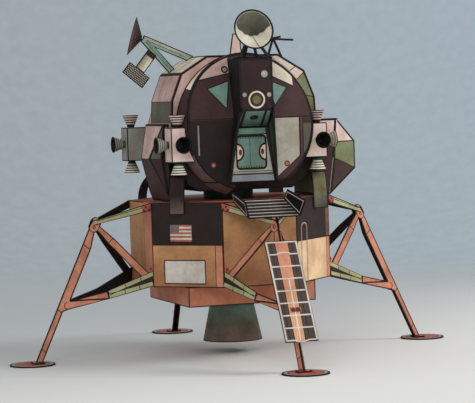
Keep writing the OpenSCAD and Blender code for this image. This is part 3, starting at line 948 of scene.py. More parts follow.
class LANDER_OT_porch(bpy.types.Operator):
    """Print the porch's planks and the white outlines of its rails"""

    bl_idname = "lander.porch"
    bl_label = "Porch"

    planks: IntProperty(name="Planks", description="Number of plank lines", default=6, min=2)

    def execute(self, context):
        work = Print()
        run = PORCH_FRONT - PORCH_REAR
        depth = np.linalg.norm(run)
        floor = Flat(PORCH_REAR, [1, 0, 0], run, [0, 0, 1])
        floor.origin = PORCH_REAR + floor.out * CARD / 2
        end = PORCH_HALF - 0.5
        for i in range(self.planks):
            y = 1.6 + (depth - 2.4) * i / (self.planks - 1)
            work.line(floor, [(-end, y), (end, y)], 0.75, "white", layer=1)
            work.line(floor, [(-end, y + 1.1), (end, y + 1.1)], 0.35, "mauve", layer=1)
        for side in (-1, 1):
            foot = PORCH_REAR + [side * PORCH_HALF, 0, 0]
            for face_side in (-1, 1):
                rail = Flat(foot, run, [side * 0.25, 0, 1], [face_side, 0, 0])
                rail.origin = foot + rail.out * CARD / 2
                outline = [(1.2, 1.0), (depth - 1.0, 1.0), (depth - 1.0, 6.7), (1.2, 3.9)]
                work.line(rail, outline, 0.4, "white", layer=1, closed=True)
        work.make("porch_print", DESCENT)
        return {"FINISHED"}


class LANDER_OT_ladder(bpy.types.Operator):
    """Print the ladder: white rails and rungs on a dark ground, and the strut behind it"""

    bl_idname = "lander.ladder"
    bl_label = "Ladder"

    rungs: IntProperty(name="Rungs", description="Number of rungs", default=9, min=2)

    def execute(self, context):
        work = Print()
        half, last = LADDER_HALF, self.rungs - 1
        length = np.linalg.norm(LADDER_TOP - LADDER_FOOT)
        for side in (-1, 1):
            face = Flat(LADDER_TOP, [1, 0, 0], LADDER_TOP - LADDER_FOOT, [0, side, 0])
            face.origin = LADDER_TOP + face.out * CARD / 2
            work.patch(face, [(-3.3, -length + 0.5), (1.6, -length + 0.5)], [(-3.1, -0.5), (3.2, -0.5)],
                       "peach", "orange", layer=1)
            for x0, x1 in ((-3.2, -3.1), (1.6, 3.2)):
                work.line(face, [(x0, -length + 0.5), (x1, -0.5)], 0.3, layer=2)
            for x0, x1 in ((-5.2, -5.0), (3.6, 4.8)):
                work.line(face, [(x0, -length + 0.5), (x1, -0.5)], 0.25, "ink", layer=2)
            # A cream line along the lower part of the strut: a painted highlight.
            work.line(face, [(-0.6, -length + 0.6), (0, -length * 0.38)], 0.5, "cream", layer=2)
            for x in (-half + 0.55, half - 0.55):
                work.line(face, [(x, -length + 0.3), (x, -0.3)], 0.8, "white", layer=3)
            for i in range(self.rungs):
                y = -0.6 - (length - 1.2) * i / last
                if i in (1, last):
                    bend = arc(0, y, 3.0, 0.9 if i == 1 else -0.6, 180, 0, 9)
                    rung = np.concatenate([[(-half + 0.6, y)], bend, [(half - 0.6, y)]])
                else:
                    rung = [(-half + 0.6, y), (half - 0.6, y)]
                work.line(face, rung, 0.65, "white", layer=3)
            dots = -length * 0.69
            work.block(face, -2.6, dots - 1.3, 2.6, dots + 1.3, "flag_red", layer=2)
            for x in (-1.1, 1.1):
                work.ring(face, x, dots, 0, 1.05, "dark_red", layer=3.6, count=20)
        work.make("ladder_print", DESCENT)
        return {"FINISHED"}


# ---- ascent stage ----

def rim_height(x):
    """Height of the cabin's rim above the floor at x, on the face that leans back: the rim lies
    on the drum's cone, whose radius grows as the face goes back."""
    x = np.asarray(x, float)
    z = CABIN_Z + np.sqrt(CABIN_FACE_R ** 2 - x ** 2)
    for _ in range(12):
        back = np.maximum(z - FOLD_Z, 0) * math.tan(CABIN_LEAN)
        radius = CABIN_FACE_R + (CABIN_BACK_R - CABIN_FACE_R) * back / CABIN_DEPTH
        z = CABIN_Z + np.sqrt(np.maximum(radius ** 2 - x ** 2, 0))
    return z


def rim_depth(turn):
    """Distance of the cabin's rim in front of the mid-section, at an angle round the drum."""
    z = CABIN_Z + 31.5 * np.sin(np.radians(turn))
    return CABIN_DEPTH - np.maximum(z - FOLD_Z, 0) * math.tan(CABIN_LEAN)


def up_slope(points):
    """Points given as x and height above the floor, on the leaning face's own axes."""
    points = np.asarray(points, float)
    return np.stack([points[:, 0], (points[:, 1] - FOLD_Z) / math.cos(CABIN_LEAN)], -1)


class LANDER_OT_cabin(bpy.types.Operator):
    """Print the cabin's windows, bands and panels, and the side of its drum"""

    bl_idname = "lander.cabin"
    bl_label = "Cabin"

    def execute(self, context):
        work = Print()
        self.upper_face(work)
        self.lower_face(work)
        self.drum(work)
        work.make("cabin_print", ASCENT)
        return {"FINISHED"}

    def upper_face(self, work):
        """The part that leans back above the fold: two bands at the rim, two windows, a port."""
        face = Flat([0, FACE_Y, FOLD_Z], [1, 0, 0], [0, math.sin(CABIN_LEAN), math.cos(CABIN_LEAN)],
                    [0, -1, 0])
        bands = ((-1, "pink", (23.3, 128.9), (8, 131.9)), (1, "cream", (22.5, 125.2), (8, 132.4)))
        for side, shade, outer, near in bands:
            x = np.linspace(outer[0], near[0], 20)
            edge_z = np.interp(x, [near[0], outer[0]], [near[1], outer[1]])
            low = up_slope(np.stack([side * x, edge_z], -1))
            high = up_slope(np.stack([side * x, np.maximum(rim_height(x) - 0.1, edge_z)], -1))
            work.patch(face, low, high, shade, layer=1)
            work.line(face, low, 0.45)
        for window in ([(-19.3, 124.9), (-8.6, 128.4), (-11.0, 115.6)],
                       [(19.3, 124.6), (9.6, 128.6), (12.6, 116.4)]):
            at = up_slope(window)
            work.patch(face, [at[2], at[2] + 1e-6], [at[0], at[1]], "teal", layer=1, columns=1)
            work.line(face, at, 0.45, closed=True)
        port = up_slope([(-9.9, 133.6)])[0]
        work.ring(face, *port, 0, 1.7, "ink", layer=3)
        work.ring(face, *port, 0, 1.0, "grey", layer=4)
        for side in (-1, 1):
            x0, x1 = sorted((side * 30, side * TOWER_HALF))
            work.line(face, [(x0, 0.1), (x1, 0.1)], 0.35)

    def lower_face(self, work):
        """The upright part below the fold: a pale panel, edge bands, a slit and two knobs."""
        face = Flat([0, FACE_Y, 0], [1, 0, 0], [0, 0, 1])
        fold = FOLD_Z - 0.4
        left, right = 9.2, 23.6
        corner, tip, toe = (right, 93.0), (12.0, 83.3), (11.2, 83.3)
        work.patch(face, [toe, tip, corner], [(left, fold), (16, fold), (right, fold)], "pale_panel",
                   layer=1, columns=12)
        work.line(face, [(right, fold), corner, tip], 0.45)
        work.line(face, [(right + 1, fold), (right + 1, 92.4)], 0.3, "mauve")
        x = np.linspace(25.6, 29.6, 8)
        z = CABIN_Z - np.sqrt(CABIN_FACE_R ** 2 - x ** 2) * 0.85
        work.patch(face, np.stack([x, z], -1), np.stack([x, np.full(8, CABIN_Z)], -1), "grey_green",
                   layer=1)
        x = np.linspace(-30.0, -8.3, 30)
        z = CABIN_Z - np.sqrt(CABIN_FACE_R ** 2 - x ** 2) + 0.5
        work.patch(face, np.stack([x, z], -1), np.stack([x, np.full(30, fold)], -1), "ink",
                   "dark_brown", layer=1, columns=29)
        work.line(face, [(-25.5, 108.4), (-25.4, 94.7)], 0.65, "grey")
        for x, z in ((-18.7, 90.1), (17.0, 89.6)):
            work.ring(face, x, z, 0, 1.35, "dark_red", layer=3, count=24)
            work.ring(face, x, z, 0, 0.85, "flag_red", layer=4, count=20)

    def drum(self, work):
        """The rolled side: cream over the top, mauve under the left."""
        drum = Roll([0, -MID_FRONT, CABIN_Z], [0, -1, 0], [1, 0, 0], CABIN_BACK_R, CABIN_FACE_R, CABIN_DEPTH)
        for start, end, shade in ((28, 90, "cream"), (90, 148, "cream"), (-155, -108, "mauve")):
            turn = np.linspace(start, end, 40)
            low = np.stack([turn, np.full(40, 0.1)], -1)
            high = np.stack([turn, rim_depth(turn) - 0.35], -1)
            work.patch(drum, low, high, shade, layer=1, rows=10, columns=39)


class LANDER_OT_tower(bpy.types.Operator):
    """Print the tower's front, sides and underside, and the hatch"""

    bl_idname = "lander.tower"
    bl_label = "Tower and hatch"

    def execute(self, context):
        work = Print()
        front_y = TOWER_LOW[1]

        def sides(middles, normals):
            """Black on the outer sides and the top of the inner ones, green on their lower part. The black of
            the outer sides is the print and, on the side away from the lamp, also painted shade.
            """
            outer = (np.abs(normals[:, 0]) > 0.6) & (middles[:, 0] * normals[:, 0] > 0)
            inner = (middles[:, 0] * normals[:, 0] < 0) & (middles[:, 2] < TOWER_STEP)
            colours = np.where(inner[:, None], np.array(paint("wall_green")), np.array(paint("black")))
            return colours, outer | inner

        work.skin("front_tower", sides)
        front = Flat([0, front_y, 0], [1, 0, 0], [0, 0, 1])
        ring_z = 119.4
        work.ring(front, 0, ring_z, 3.2, 4.0, "cream")
        work.ring(front, 0, ring_z, 0, 2.5, "slate")
        work.ring(front, 0, ring_z, 0, 1.9, "olive", layer=3)
        for x, z, r in ((4.0, 131.0, 1.6), (-5.8, 121.7, 1.05), (6.0, 121.5, 1.05)):
            work.ring(front, x, z, 0, r + 0.25, "ink")
            work.ring(front, x, z, 0, r, "grey", layer=3)
            # A small pale spot at the upper left of each grey disc: a painted glint.
            work.ring(front, x - r * 0.2, z + r * 0.2, 0, r * 0.45, "pale_panel", layer=4)
        under = Flat([0, front_y, TOWER_STEP], [1, 0, 0], [0, HATCH_Y - front_y, -CEILING_DROP], [0, -1, -1])
        slope = math.hypot(HATCH_Y - front_y, CEILING_DROP)
        half = TOWER_HALF - 0.6
        work.block(under, -half, 0.3, half, slope - 0.2, "ceiling_green", "wall_green")
        for x in (-5.7, 4.4):
            work.line(under, [(x, 0.3), (x, slope - 0.2)], 1.3, "ink")
        work.ring(under, -0.4, slope * 0.4, 0, 2.1, "ink", squash=0.75)
        work.make("front_tower_print", ASCENT)
        self.hatch()
        return {"FINISHED"}

    def hatch(self):
        """The rounded door with its dotted middle line, stitched ends and two blank handles."""
        work = Print()
        face = Flat([0, HATCH_Y, 0], [1, 0, 0], [0, 0, 1])
        x0, x1, z0, z1 = -7.5, 6.6, 87.9, 102.9
        work.patch(face, [(-10.0, 85.9), (10.0, 85.9)], [(-7.3, 103.6), (7.3, 103.6)], "pale_panel")
        work.block(face, -7.0, 103.6, 7.0, 106.6, "ceiling_green")
        work.line(face, [(-7.2, 103.6), (7.2, 103.6)], 0.4)
        door = rounded(x0, z0, x1, z1, 1.6)
        work.patch(face, door[:12][::-1], door[12:], "hatch_green", layer=2)
        work.line(face, door, 0.95, layer=3, closed=True)
        inner = rounded(x0 + 0.7, z0 + 0.7, x1 - 0.7, z1 - 0.7, 1.1)
        work.line(face, inner, 0.22, "meadow", layer=3, closed=True)
        middle = (x0 + x1) / 2 - 0.7
        for i in range(14):
            z = z0 + 1.4 + i * 0.92
            work.block(face, middle - 0.22, z, middle + 0.22, z + 0.5, "ink", layer=3)
        for i in range(9):
            x = x0 + 1.9 + i * 1.25
            for z, way in ((z0, 1), (z1, -1)):
                work.block(face, x - 0.24, z + way * 0.4, x + 0.24, z + way * 1.15, "ink", layer=3)
        mid_z = (z0 + z1) / 2 + 0.1
        for x, start, end in ((x0 + 0.2, -90, 90), (x1 - 0.2, 90, 270)):
            sign = 1 if start < 0 else -1
            bow = arc(x, mid_z, 3.0, 3.7, start, end, 20)
            work.patch(face, bow, [(x, bow[0][1]), (x, bow[-1][1])], "pink_pale", layer=4, columns=19)
            work.line(face, bow, 0.85, layer=5)
            work.ring(face, x + sign * 1.5, mid_z, 0, 0.75, "dark_red", layer=5, squash=1.9, count=20)
        work.line(face, [(-10.2, 86.6), (10.2, 86.6)], 0.3, layer=2)
        work.line(face, [(-10.4, 85.4), (10.4, 85.4)], 0.6, "dark_brown", layer=2)
        work.patch(face, [(-10.7, 82.0), (10.7, 82.0)], [(-10.3, 85.1), (10.3, 85.1)], "sill_blue", layer=1)
        work.make("hatch_print", ASCENT)


class LANDER_OT_mid(bpy.types.Operator):
    """Print the mid-section's front, sides, top and back"""

    bl_idname = "lander.mid"
    bl_label = "Mid-section"

    def execute(self, context):
        work = Print()
        work.skin("mid_section", self.rule)
        self.front(work)
        for side in (-1, 1):
            self.side(work, side)
        work.make("mid_section_print", ASCENT)
        return {"FINISHED"}

    def rule(self, middles, normals):
        """Paints for the slanting sides, the upper sides, the top, the back and what is below."""
        colours = np.broadcast_to(np.array(paint("brown")), middles.shape).copy()
        slant = (normals[:, 2] > 0.5) & (np.abs(normals[:, 0]) > 0.3)
        upper = (np.abs(normals[:, 0]) > 0.6) & (middles[:, 2] > DECK + MID_OUTLINE[2, 1])
        top, back, below = normals[:, 2] > 0.98, normals[:, 1] > 0.9, normals[:, 2] < -0.2
        for taken, shade in ((slant, "cream"), (upper, "pink"), (top, "pink_pale"),
                             (back, "grey_green"), (below, "dark_brown")):
            colours[taken] = paint(shade)
        return colours, slant | upper | below | top | back

    def front(self, work):
        """Dark brown up to the cabin's axis, and four facets beside the cabin's upper right."""
        face = Flat([0, MID_LOW[1], 0], [1, 0, 0], [0, 0, 1])
        ends = [[(-x, z + DECK), (x, z + DECK)] for x, z in MID_OUTLINE[:3:-1]]
        for low, high in zip(ends, ends[1:]):
            work.patch(face, low, high, "dark_brown")
        half = MID_OUTLINE[4, 0]
        work.block(face, -half, DECK + MID_OUTLINE[4, 1], half, CABIN_Z + 2, "dark_brown")
        for low, high, shade, columns in (
                ([(14.5, 139.6), (21.0, 131.0)], [(17.6, 139.8), (26.0, 134.6)], "cream", 6),
                ([(21.6, 131.2), (24.8, 126.6)], [(26.3, 134.4), (29.8, 131.8)], "pink_pale", 4),
                ([(24.9, 126.4), (28.2, 121.0)], [(29.9, 131.6), (34.4, 120.2)], "meadow", 4),
                ([(28.4, 120.8), (31.0, 112.0)], [(34.5, 119.9), (35.0, 110.2)], "olive", 4)):
            work.patch(face, low, high, shade, layer=1.4, columns=columns)
        for line in ([(21.2, 131.1), (26.2, 134.5)], [(24.7, 126.5), (30.0, 131.7)],
                     [(28.2, 121.0), (34.5, 120.0)],
                     [(21.2, 131.1), (24.8, 126.6), (28.2, 121.0), (31.2, 112.0)]):
            work.line(face, line, 0.4, layer=2)
        work.line(face, [(-11.4, 139.6), (-11.5, 135.0)], 0.3, layer=2)

    def side(self, work, side):
        """Two green facets, and thin lines across each facet above them."""
        shade = "grey_green" if side < 0 else "olive"
        y0, y1 = sorted((-side * MID_LOW[1], -side * MID_HIGH[1]))

        def facet(lower):
            """The outline's facet that starts at the given corner and rises to the one before."""
            x, z = MID_OUTLINE[lower]
            rise = MID_OUTLINE[lower - 1] - MID_OUTLINE[lower]
            return Flat([side * x, 0, DECK + z], [0, -side, 0], [side * rise[0], 0, rise[1]], [side, 0, 0])

        flat, lean, pink, slant = facet(4), facet(3), facet(2), facet(1)
        low_z = CABIN_Z + 2 - (DECK + MID_OUTLINE[4, 1])
        work.block(flat, y0, low_z, y1, MID_OUTLINE[3, 1] - MID_OUTLINE[4, 1], shade)
        work.block(lean, y0, 0, y1, 6.2, shade)
        work.line(lean, [(y0, 6.2), (y1, 6.2)], 0.35)
        for share in (0.38, 0.68):
            y = y0 + (y1 - y0) * share
            for face, height in ((lean, 6.2), (pink, 13.1), (slant, 15.1)):
                work.line(face, [(y, 0), (y, height)], 0.25)


class LANDER_OT_bays(bpy.types.Operator):
    """Print the side bays and the aft bay, facet by facet"""

    bl_idname = "lander.bays"
    bl_label = "Bays"

    def execute(self, context):
        for name, rule, extra, slot in (("left_bay", self.left, None, "bay_card"),
                                        ("right_bay", self.right, self.right_front, "bay_card"),
                                        ("aft_bay", self.aft, self.aft_back, "aft_card")):
            work = Print()
            work.skin(name, rule)
            if extra:
                extra(work)
            work.make(name + "_print", ASCENT)
        return {"FINISHED"}

    def left(self, middles, normals):
        """Pink above the ridge, grey-green on its slants, brown below."""
        colours = np.broadcast_to(np.array(paint("brown")), middles.shape).copy()
        high = middles[:, 2] > DECK + 20.3
        colours[high & (np.abs(normals[:, 1]) < 0.2)] = paint("pink")
        colours[high & (np.abs(normals[:, 1]) >= 0.2)] = paint("grey_green")
        colours[normals[:, 2] > 0.9] = paint("pink")
        return colours, np.ones(len(middles), bool)

    def right(self, middles, normals):
        """Pale pink above, light green on the outer facets, brown below."""
        colours = np.broadcast_to(np.array(paint("brown")), middles.shape).copy()
        colours[(middles[:, 2] > DECK + 12) & (normals[:, 1] > -0.5)] = paint("meadow")
        colours[middles[:, 2] > DECK + 25] = paint("pink_pale")
        return colours, np.ones(len(middles), bool)

    def aft(self, middles, normals):
        """Grey-green at the back, pink on what looks up, brown elsewhere."""
        colours = np.broadcast_to(np.array(paint("brown")), middles.shape).copy()
        colours[normals[:, 1] > 0.9] = paint("grey_green")
        colours[normals[:, 2] > 0.3] = paint("pink")
        return colours, np.ones(len(middles), bool)

    def aft_back(self, work):
        """The aft bay's back: two upright lines, two across, and a pink panel between them."""
        low, high = box_mm("aft_bay")
        back = Flat([0, high[1], 0], [-1, 0, 0], [0, 0, 1])
        half, panel_low, panel_high = 12, DECK + 18, DECK + 34
        for x in (-half, half):
            work.line(back, [(x, low[2] + 3), (x, high[2] - 3)], 0.3)
        for z in (panel_high, panel_low):
            work.line(back, [(-30, z), (30, z)], 0.4)
        work.block(back, 0.3 - half, panel_low + 0.3, half - 0.3, panel_high - 0.3, "pink")

    def right_front(self, work):
        """The right bay's front: pink above, a green facet on the slant, and a pale line below."""
        low, high = box_mm("right_bay")
        x, y, top = high[0], low[1], high[2]
        ridge = y + (high[1] - low[1] - 13) / 2
        fold = np.array([[x - 12, y, top], [x - 14, y, DECK + 12]])
        far = np.array([[x, ridge, DECK + 25], [x, ridge, DECK + 12.1]])
        level = fold[0] + (fold[1] - fold[0]) * 11 / 24
        middle = fold[0] + (far[1] - fold[0]) * 11 / 24
        low_end = fold[0] + (fold[1] - fold[0]) * 18.5 / 24
        slant, flat = (0.53, -0.85, 0), (0, -1, 0)
        root = (x - 23, y, DECK + 25)
        for corners, outside, shade in (([(x - 23, y, top), fold[0], level, root], flat, "pink_pale"),
                                        ([fold[0], level, middle], slant, "pink_pale"),
                                        ([fold[0], middle, far[0]], slant, "pink_pale"),
                                        ([level, middle, far[1]], slant, "meadow"),
                                        ([level, far[1], low_end], slant, "meadow"),
                                        ([middle, far[0], far[1]], slant, "meadow")):
            work.facet(corners, outside, shade, layer=1.4)
        for start, end, width in ((level, middle, 0.5), (middle, far[0], 0.5), (far[1], low_end, 0.3),
                                  (root, level, 0.4)):
            work.seam(start, end, slant, width)
        work.seam(low_end - [0.5, 0, 0], (x - 16.4, y, DECK + 1), flat, 0.35, "grey", layer=4)


def quad_cones(side_x, side_y):
    """Where the four cones of a quad stand: their feet and the ways they point."""
    outer, face = (FRONT_QUAD_X, FRONT_QUAD_Y) if side_y < 0 else (REAR_QUAD_X, REAR_QUAD_Y)
    middle_y = face - side_y * QUAD_DEPTH / 2
    x, y = side_x * (outer - QUAD_W / 2), middle_y + side_y * CONE_SHIFT
    mid_z = CABIN_Z - QUAD_H / 2
    return [((x, y, CABIN_Z), (0, 0, 1)), ((x, y, CABIN_Z - QUAD_H), (0, 0, -1)),
            ((side_x * outer, middle_y, mid_z), (side_x, 0, 0)), ((x, face, mid_z), (0, side_y, 0))]


class LANDER_OT_quads(bpy.types.Operator):
    """Print the thruster cones: striped outside and black inside"""

    bl_idname = "lander.quads"
    bl_label = "Thruster quads"

    def execute(self, context):
        for side_y, row in ((-1, "front"), (1, "rear")):
            for side_x, hand in ((-1, "left"), (1, "right")):
                name = "%s_%s_quad" % (row, hand)
                work = Print()
                for foot, way in quad_cones(side_x, side_y):
                    self.cone(work, foot, way, row)
                work.make(name + "_print", ASCENT)
        return {"FINISHED"}

    def cone(self, work, foot, way, row):
        """One rolled cone: four pale stripes outside, black inside, and an inked rim."""
        zero = (0, 1, 0) if abs(way[2]) else (0, 0, 1)
        outside = Roll(foot, way, zero, CONE_NECK, CONE_R, CONE_L)
        base, stripe = ("dark_brown", "pink_pale") if row == "front" or way[2] > 0 else ("ink", "grey")
        if way[2] < 0:
            base, stripe = "wall_green", "cream"
        elif not way[2]:
            base, stripe = "grey_green", "pale_panel"

        def round_band(roll, low, high, shade, layer):
            """A band right round a cone, between two distances from its foot."""
            work.patch(roll, [(0, low), (360, low)], [(0, high), (360, high)], shade, layer=layer, columns=40)

        round_band(outside, 0.1, CONE_L - 0.05, base, 1)
        for share in (0.32, 0.52, 0.71, 0.9):
            round_band(outside, CONE_L * share - 0.28, CONE_L * share + 0.28, stripe, 2)
        floor_l = 0.7
        inside = Roll(foot, way, zero, CONE_NECK - 0.45, CONE_R - 0.45, CONE_L, side=-1)
        round_band(inside, floor_l, CONE_L, "black", 3)
        floor = Flat(np.array(foot) + np.array(way) * floor_l, zero, np.cross(way, zero), way)
        work.ring(floor, 0, 0, 0, CONE_NECK - 0.3, "black", count=30)
        rim = Flat(np.array(foot) + np.array(way) * CONE_L, zero, np.cross(way, zero), way)
        work.ring(rim, 0, 0, CONE_R - 0.4, CONE_R, "ink", layer=1, count=40)


class LANDER_OT_antennas(bpy.types.Operator):
    """Print the radar dish, the antenna arms and the dotted panel"""

    bl_idname = "lander.antennas"
    bl_label = "Dishes and antennas"

    def execute(self, context):
        self.radar()
        self.lattice()
        self.arms()
        return {"FINISHED"}

    def radar(self):
        """The dark area over a wavy edge in the radar dish, and the seam below it."""
        work = Print()
        facing = np.array([0, -math.cos(RADAR_TILT), math.sin(RADAR_TILT)])
        dish = Dish(RADAR_RIM, facing, [0, 0, 1], RADAR_R - 0.4, DISH_DEPTH - 0.35)
        r = RADAR_R - 1.0
        x = np.linspace(-7.9, 8.1, 40)
        low = np.stack([x, -2.2 + 0.062 * x ** 2 + 0.35 * np.sin(x * 2.1)], -1)
        high = np.stack([x, np.sqrt(r ** 2 - x ** 2)], -1)
        high[:, 1] = np.maximum(high[:, 1], low[:, 1])
        work.patch(dish, low, high, "dish_dark", "grey_green", layer=2, columns=39, rows=14)
        seam = np.stack([np.linspace(0.1, 1.7, 12), np.linspace(-2.2, -8.6, 12)], -1)
        shift = np.array([0.14, 0])
        work.patch(dish, seam - shift, seam + shift, "ink", layer=3, columns=11)
        work.make("radar_dish_print", ASCENT)

    def lattice(self):
        """Both sides of the dotted panel and of the strip that it hangs from."""
        work = Print()
        way, rise = unit([9.2, 0, -7.7]), unit([7.7, 0, 9.2])
        strip_way = unit(LATTICE_STRIP_END - LATTICE_MIDDLE)
        dot, step, rows, columns, half_w = 0.26, 0.95, 6, 12, 5.7
        for side in (-1, 1):
            surface = LATTICE_MIDDLE + np.array([0, side * CARD / 2, 0])
            panel = Flat(surface, way, rise, [0, side, 0])
            for i in range(rows):
                for j in range(columns):
                    x, y = -5.5 + (j + 0.5 * (i % 2)) * step, -2.4 + i * step
                    if abs(x) < half_w:
                        work.block(panel, x - dot, y - dot, x + dot, y + dot, "pale_panel", layer=1)
            strip = Flat(surface, strip_way, np.cross([0, 1, 0], strip_way), [0, side, 0])
            work.block(strip, 3.4, -2.1, 10.6, 2.1, "meadow", "cream", layer=1)
        work.make("lattice_panel_print", ASCENT)

    def arms(self):
        """A band of paint and a thin line along each arm, on both sides."""
        work = Print()
        low, high, band_low, band_high = 2.0, 22, -0.1, 1.25
        for end, shade in ((ARM_UPPER_END, "pale_panel"), (ARM_LOWER_END, "ceiling_green")):
            for side in (-1, 1):
                arm = Flat(ARM_START + np.array([0, side * CARD / 2, 0]), end - ARM_START, [0, 0, 1],
                           [0, side, 0])
                work.block(arm, low, band_low, high, band_high, shade, layer=1)
                work.line(arm, [(low, band_low), (high, band_low)], 0.2, "wall_green")
        work.make("steerable_arm_print", ASCENT)


# ---- stage ----

def floor_material(near, far):
    """Matt floor with painted light: pale in front of the model, where the lamp at the right lights it, and
    darker and bluer behind it and to its left, where the light falls off and the floor meets the backdrop.
    """
    material = bpy.data.materials.new("Floor")
    material.use_nodes = True
    nodes, links = material.node_tree.nodes, material.node_tree.links
    shader = nodes["Principled BSDF"]
    shader.inputs["Roughness"].default_value = 0.9
    shader.inputs["Specular IOR Level"].default_value = 0.1
    place, depth = nodes.new("ShaderNodeTexCoord"), nodes.new("ShaderNodeVectorMath")
    depth.operation = "DOT_PRODUCT"
    depth.inputs[1].default_value = (-0.45, 0.89, 0)
    links.new(place.outputs["Object"], depth.inputs[0])
    spread, mix = nodes.new("ShaderNodeMapRange"), nodes.new("ShaderNodeMix")
    spread.interpolation_type = "SMOOTHSTEP"
    spread.inputs["From Min"].default_value, spread.inputs["From Max"].default_value = -0.16, 0.22
    links.new(depth.outputs["Value"], spread.inputs["Value"])
    mix.data_type = "RGBA"
    mix.inputs["A"].default_value, mix.inputs["B"].default_value = (*near, 1), (*far, 1)
    links.new(spread.outputs["Result"], mix.inputs["Factor"])
    links.new(mix.outputs["Result"], shader.inputs["Base Color"])
    return material


def backdrop_material(left, right):
    """A plain wall that shines at the camera only, fades out towards the floor, and is clear when
    it is seen from outside."""
    material = bpy.data.materials.new("Backdrop")
    material.use_nodes = True
    nodes, links = material.node_tree.nodes, material.node_tree.links
    nodes.clear()
    out = nodes.new("ShaderNodeOutputMaterial")
    clear, glow, mix = (nodes.new(k) for k in ("ShaderNodeBsdfTransparent", "ShaderNodeEmission",
                                               "ShaderNodeMixShader"))
    place, split = nodes.new("ShaderNodeTexCoord"), nodes.new("ShaderNodeSeparateXYZ")
    links.new(place.outputs["Object"], split.inputs[0])
    fade, climb = nodes.new("ShaderNodeMapRange"), nodes.new("ShaderNodeMapRange")
    for node, start, end, axis in ((fade, 0.0, 0.022, "Z"), (climb, -0.25, 0.45, "X")):
        node.interpolation_type = "SMOOTHSTEP"
        node.inputs["From Min"].default_value = start
        node.inputs["From Max"].default_value = end
        links.new(split.outputs[axis], node.inputs["Value"])
    ramp = nodes.new("ShaderNodeMix")
    ramp.data_type = "RGBA"
    ramp.inputs["A"].default_value = (*left, 1)
    ramp.inputs["B"].default_value = (*right, 1)
    links.new(climb.outputs["Result"], ramp.inputs["Factor"])
    paper = nodes.new("ShaderNodeTexNoise")
    paper.inputs["Scale"].default_value, paper.inputs["Detail"].default_value = 130, 6
    links.new(place.outputs["Object"], paper.inputs["Vector"])
    light = nodes.new("ShaderNodeMapRange")
    light.inputs["To Min"].default_value, light.inputs["To Max"].default_value = 0.91, 1.09
    links.new(paper.outputs["Fac"], light.inputs["Value"])
    links.new(light.outputs["Result"], glow.inputs["Strength"])
    links.new(ramp.outputs["Result"], glow.inputs["Color"])
    seen, path = nodes.new("ShaderNodeNewGeometry"), nodes.new("ShaderNodeLightPath")
    front, both = nodes.new("ShaderNodeMath"), nodes.new("ShaderNodeMath")
    front.operation, both.operation = "SUBTRACT", "MULTIPLY"
    front.inputs[0].default_value = 1
    links.new(seen.outputs["Backfacing"], front.inputs[1])
    links.new(path.outputs["Is Camera Ray"], both.inputs[0])
    links.new(front.outputs[0], both.inputs[1])
    gate = nodes.new("ShaderNodeMath")
    gate.operation = "MULTIPLY"
    links.new(both.outputs[0], gate.inputs[0])
    links.new(fade.outputs["Result"], gate.inputs[1])
    links.new(gate.outputs[0], mix.inputs[0])
    links.new(clear.outputs[0], mix.inputs[1])
    links.new(glow.outputs[0], mix.inputs[2])
    links.new(mix.outputs[0], out.inputs["Surface"])
    return material


def grid_object(name, points, material, close=True):
    """A mesh from a grid of points (rows, columns, 3) in metres, closed along its columns."""
    rows, columns = points.shape[:2]
    index = np.arange(rows * columns).reshape(rows, columns)
    right = np.roll(index, -1, axis=1) if close else index[:, 1:]
    left = index if close else index[:, :-1]
    quads = np.stack([left[:-1], right[:-1], right[1:], left[1:]], -1).reshape(-1, 4)
    mesh = bpy.data.meshes.new(name)
    mesh.from_pydata(points.reshape(-1, 3).tolist(), [], quads.tolist())
    mesh.shade_smooth()
    mesh.materials.append(material)
    piece = bpy.data.objects.new(name, mesh)
    bpy.context.scene.collection.objects.link(piece)
    return piece


